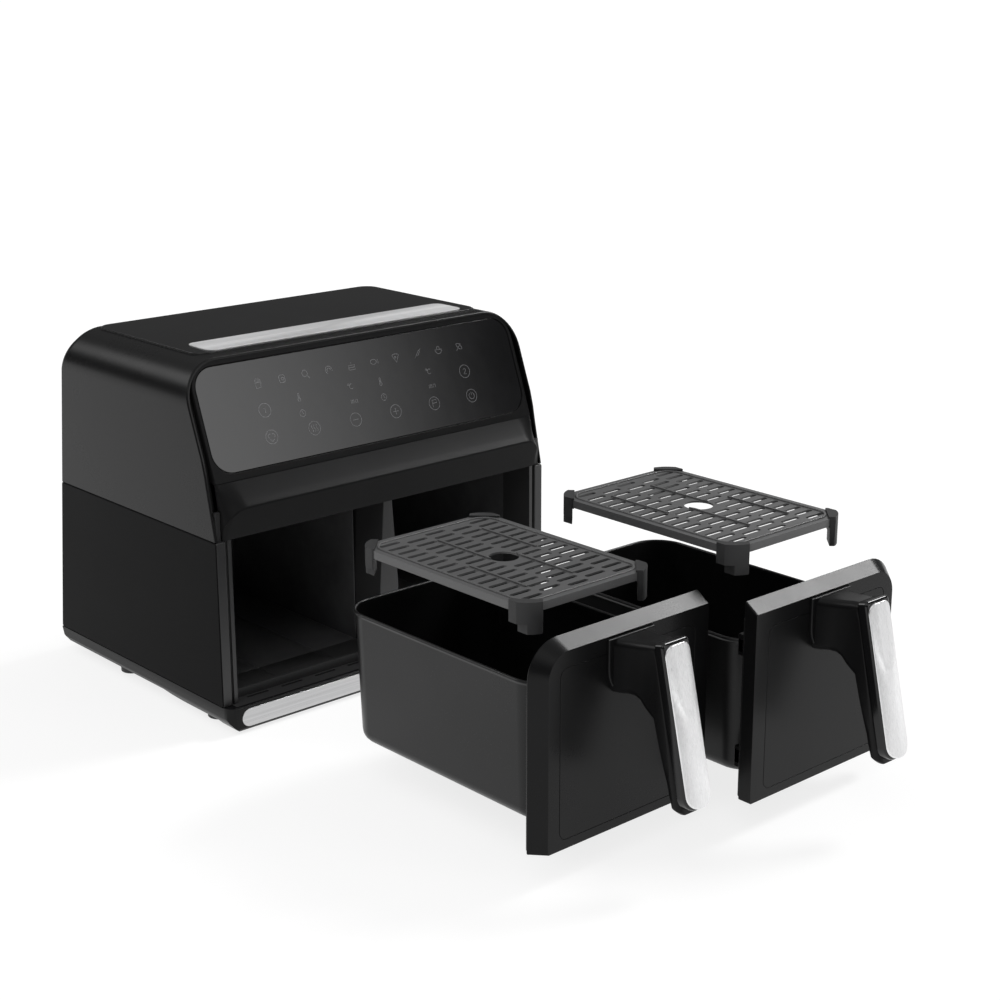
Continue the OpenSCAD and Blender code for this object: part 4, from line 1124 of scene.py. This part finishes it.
def build_plate(side):
    """Slotted plate with a raised bead, and its four silicone shoes."""
    refined(side + "_crisper_plate", "plate_coating", 0.35)
    low, high = lowest(side + "_crisper_plate"), highest(side + "_crisper_plate")
    w, l = high.x - low.x, high.y - low.y
    cx, cy = (low.x + high.x) / 2, (low.y + high.y) / 2
    top = high.z - PLATE_RIB
    bm = bmesh.new()
    outer, inner = [rounded(w - 2 * d, l - 2 * d, PLATE_R - d, 10, cx, cy)
                    for d in (BEAD_IN, BEAD_IN + BEAD_W)]
    frame_slab(bm, outer, inner, top - 0.3, top + 1.1, at_frame, 0.7)
    add_piece(side + "_plate_bead", bm, "plate_coating", side + "_plate")
    refined(side + "_plate_feet", "silicone", 1.3, 3)


# ---- assemble --------------------------------------------

build_shell()
build_joint_returns()
build_fascia()
build_glass()
build_symbols()
build_top()
build_base()
for name, look in (("opening_frame", "sill_black_painted_light"), ("centre_divider", "sill_black_painted_light"),
                   ("rear_cover", "panel_black_painted_shade")):
    refined(name, look, 0.6)
refined("cord_gland", "gloss_black_plastic", 0.5)
for side in ("left", "right"):
    build_side_panel(side)
    refined(side + "_cavity_liner", "liner_steel", 0.25)
    build_drawer_front(side)
    build_handle(side)
    build_basket(side)
    refined(side + "_basket_bracket", "satin_black_plastic", 0.6)
    build_plate(side)

# CAD nodes that stay as they are get their slot's material
SLOTS = {part["node"]: part["material_slot"] for part in frame["record"]["subparts"]}
for node, obj in NODES.items():
    obj.data.materials.clear()
    obj.data.materials.append(MATERIALS[SLOTS[node]])
    obj.data.shade_smooth()
    obj.data.set_sharp_from_angle(angle=SHARP_ANGLE)


# ---- floor, light and camera -----------------------------

def stage_material():
    """Pale floor that glows a little, so that the shadows on it stay soft and light."""
    s = Shader("pale_floor", (0.25, 0.25, 0.25), 0.8, 0, 0.1)
    s.color(s.mix(s.ramp(s.noise(3, 2), 0.3, 0.7, 0, 1), (0.24, 0.24, 0.24), (0.26, 0.26, 0.26)))
    s.main.inputs["Emission Color"].default_value = (1, 1, 1, 1)
    s.main.inputs["Emission Strength"].default_value = 0.8
    return s.material


def build_stage():
    """Floor under the object."""
    mesh = bpy.data.meshes.new("floor")
    size = 60.0
    mesh.from_pydata([(-size, -size, 0), (size, -size, 0), (size, size, 0), (-size, size, 0)], [],
                     [(0, 1, 2, 3)])
    floor = bpy.data.objects.new("floor", mesh)
    bpy.context.scene.collection.objects.link(floor)
    mesh.materials.append(stage_material())


# Soft lamps round the object: direction, radiance, and the angles where each is full and gone
LAMPS = (
    ((0.40, -0.85, 0.35), 2.6, 4, 18),
    ((0.71, -0.12, 0.69), 26.0, 5, 10),
    ((-0.45, 0.71, 0.535), 3.6, 6, 16),
    ((-0.55, -0.25, 0.80), 1.2, 10, 30),
    ((0.86, 0.44, 0.27), 0.9, 5, 18),
)
# Radiance of the room near the horizon and overhead
SKY_LOW, SKY_HIGH = 0.08, 0.6
# Camera: place behind the housing's front plane, view angles in degrees, and lens
CAMERA_X, CAMERA_Y, CAMERA_Z = -1.045, -1.316, 0.6787
AZIMUTH, ELEVATION, ROLL = 41.957, 16.544, -0.107
LENS = 67.18


def build_light():
    """A studio round the object: a dim room, brighter overhead, with a few large soft lamps."""
    world = bpy.data.worlds.new("studio")
    bpy.context.scene.world = world
    world.use_nodes = True
    nodes, links = world.node_tree.nodes, world.node_tree.links
    direction = nodes.new("ShaderNodeTexCoord").outputs["Generated"]
    split = nodes.new("ShaderNodeSeparateXYZ")
    links.new(direction, split.inputs["Vector"])

    def soft_step(value, low, high, out_low, out_high):
        node = nodes.new("ShaderNodeMapRange")
        node.interpolation_type = "SMOOTHSTEP"
        for socket, number in zip(RANGE_SOCKETS, (low, high, out_low, out_high)):
            node.inputs[socket].default_value = number
        links.new(value, node.inputs["Value"])
        return node.outputs["Result"]

    total = soft_step(split.outputs["Z"], 0.25, 1.0, SKY_LOW, SKY_HIGH)
    for towards, radiance, full, gone in LAMPS:
        dot = nodes.new("ShaderNodeVectorMath")
        dot.operation = "DOT_PRODUCT"
        dot.inputs[1].default_value = Vector(towards).normalized()
        links.new(direction, dot.inputs[0])
        edge, core = math.cos(math.radians(gone)), math.cos(math.radians(full))
        lobe = soft_step(dot.outputs["Value"], edge, core, 0, radiance)
        add = nodes.new("ShaderNodeMath")
        add.operation = "ADD"
        links.new(total, add.inputs[0])
        links.new(lobe, add.inputs[1])
        total = add.outputs["Value"]
    background = nodes["Background"]
    background.inputs["Color"].default_value = (1, 1, 1, 1)
    links.new(total, background.inputs["Strength"])


def build_camera():
    """Camera of the reference view."""
    data = bpy.data.cameras.new("camera")
    data.sensor_width = 36
    data.lens = LENS
    camera = bpy.data.objects.new("camera", data)
    azimuth, elevation, roll = (math.radians(a) for a in (AZIMUTH, ELEVATION, ROLL))
    camera.location = (CAMERA_X, FRONT * MM + CAMERA_Y, CAMERA_Z)
    turn = Matrix.Rotation(-azimuth, 4, "Z") @ Matrix.Rotation(math.pi / 2 - elevation, 4, "X")
    camera.rotation_euler = (turn @ Matrix.Rotation(roll, 4, "Z")).to_euler()
    bpy.context.scene.collection.objects.link(camera)
    bpy.context.scene.camera = camera


build_stage()
build_light()
build_camera()
bpy.context.scene.view_settings.view_transform = "Standard"
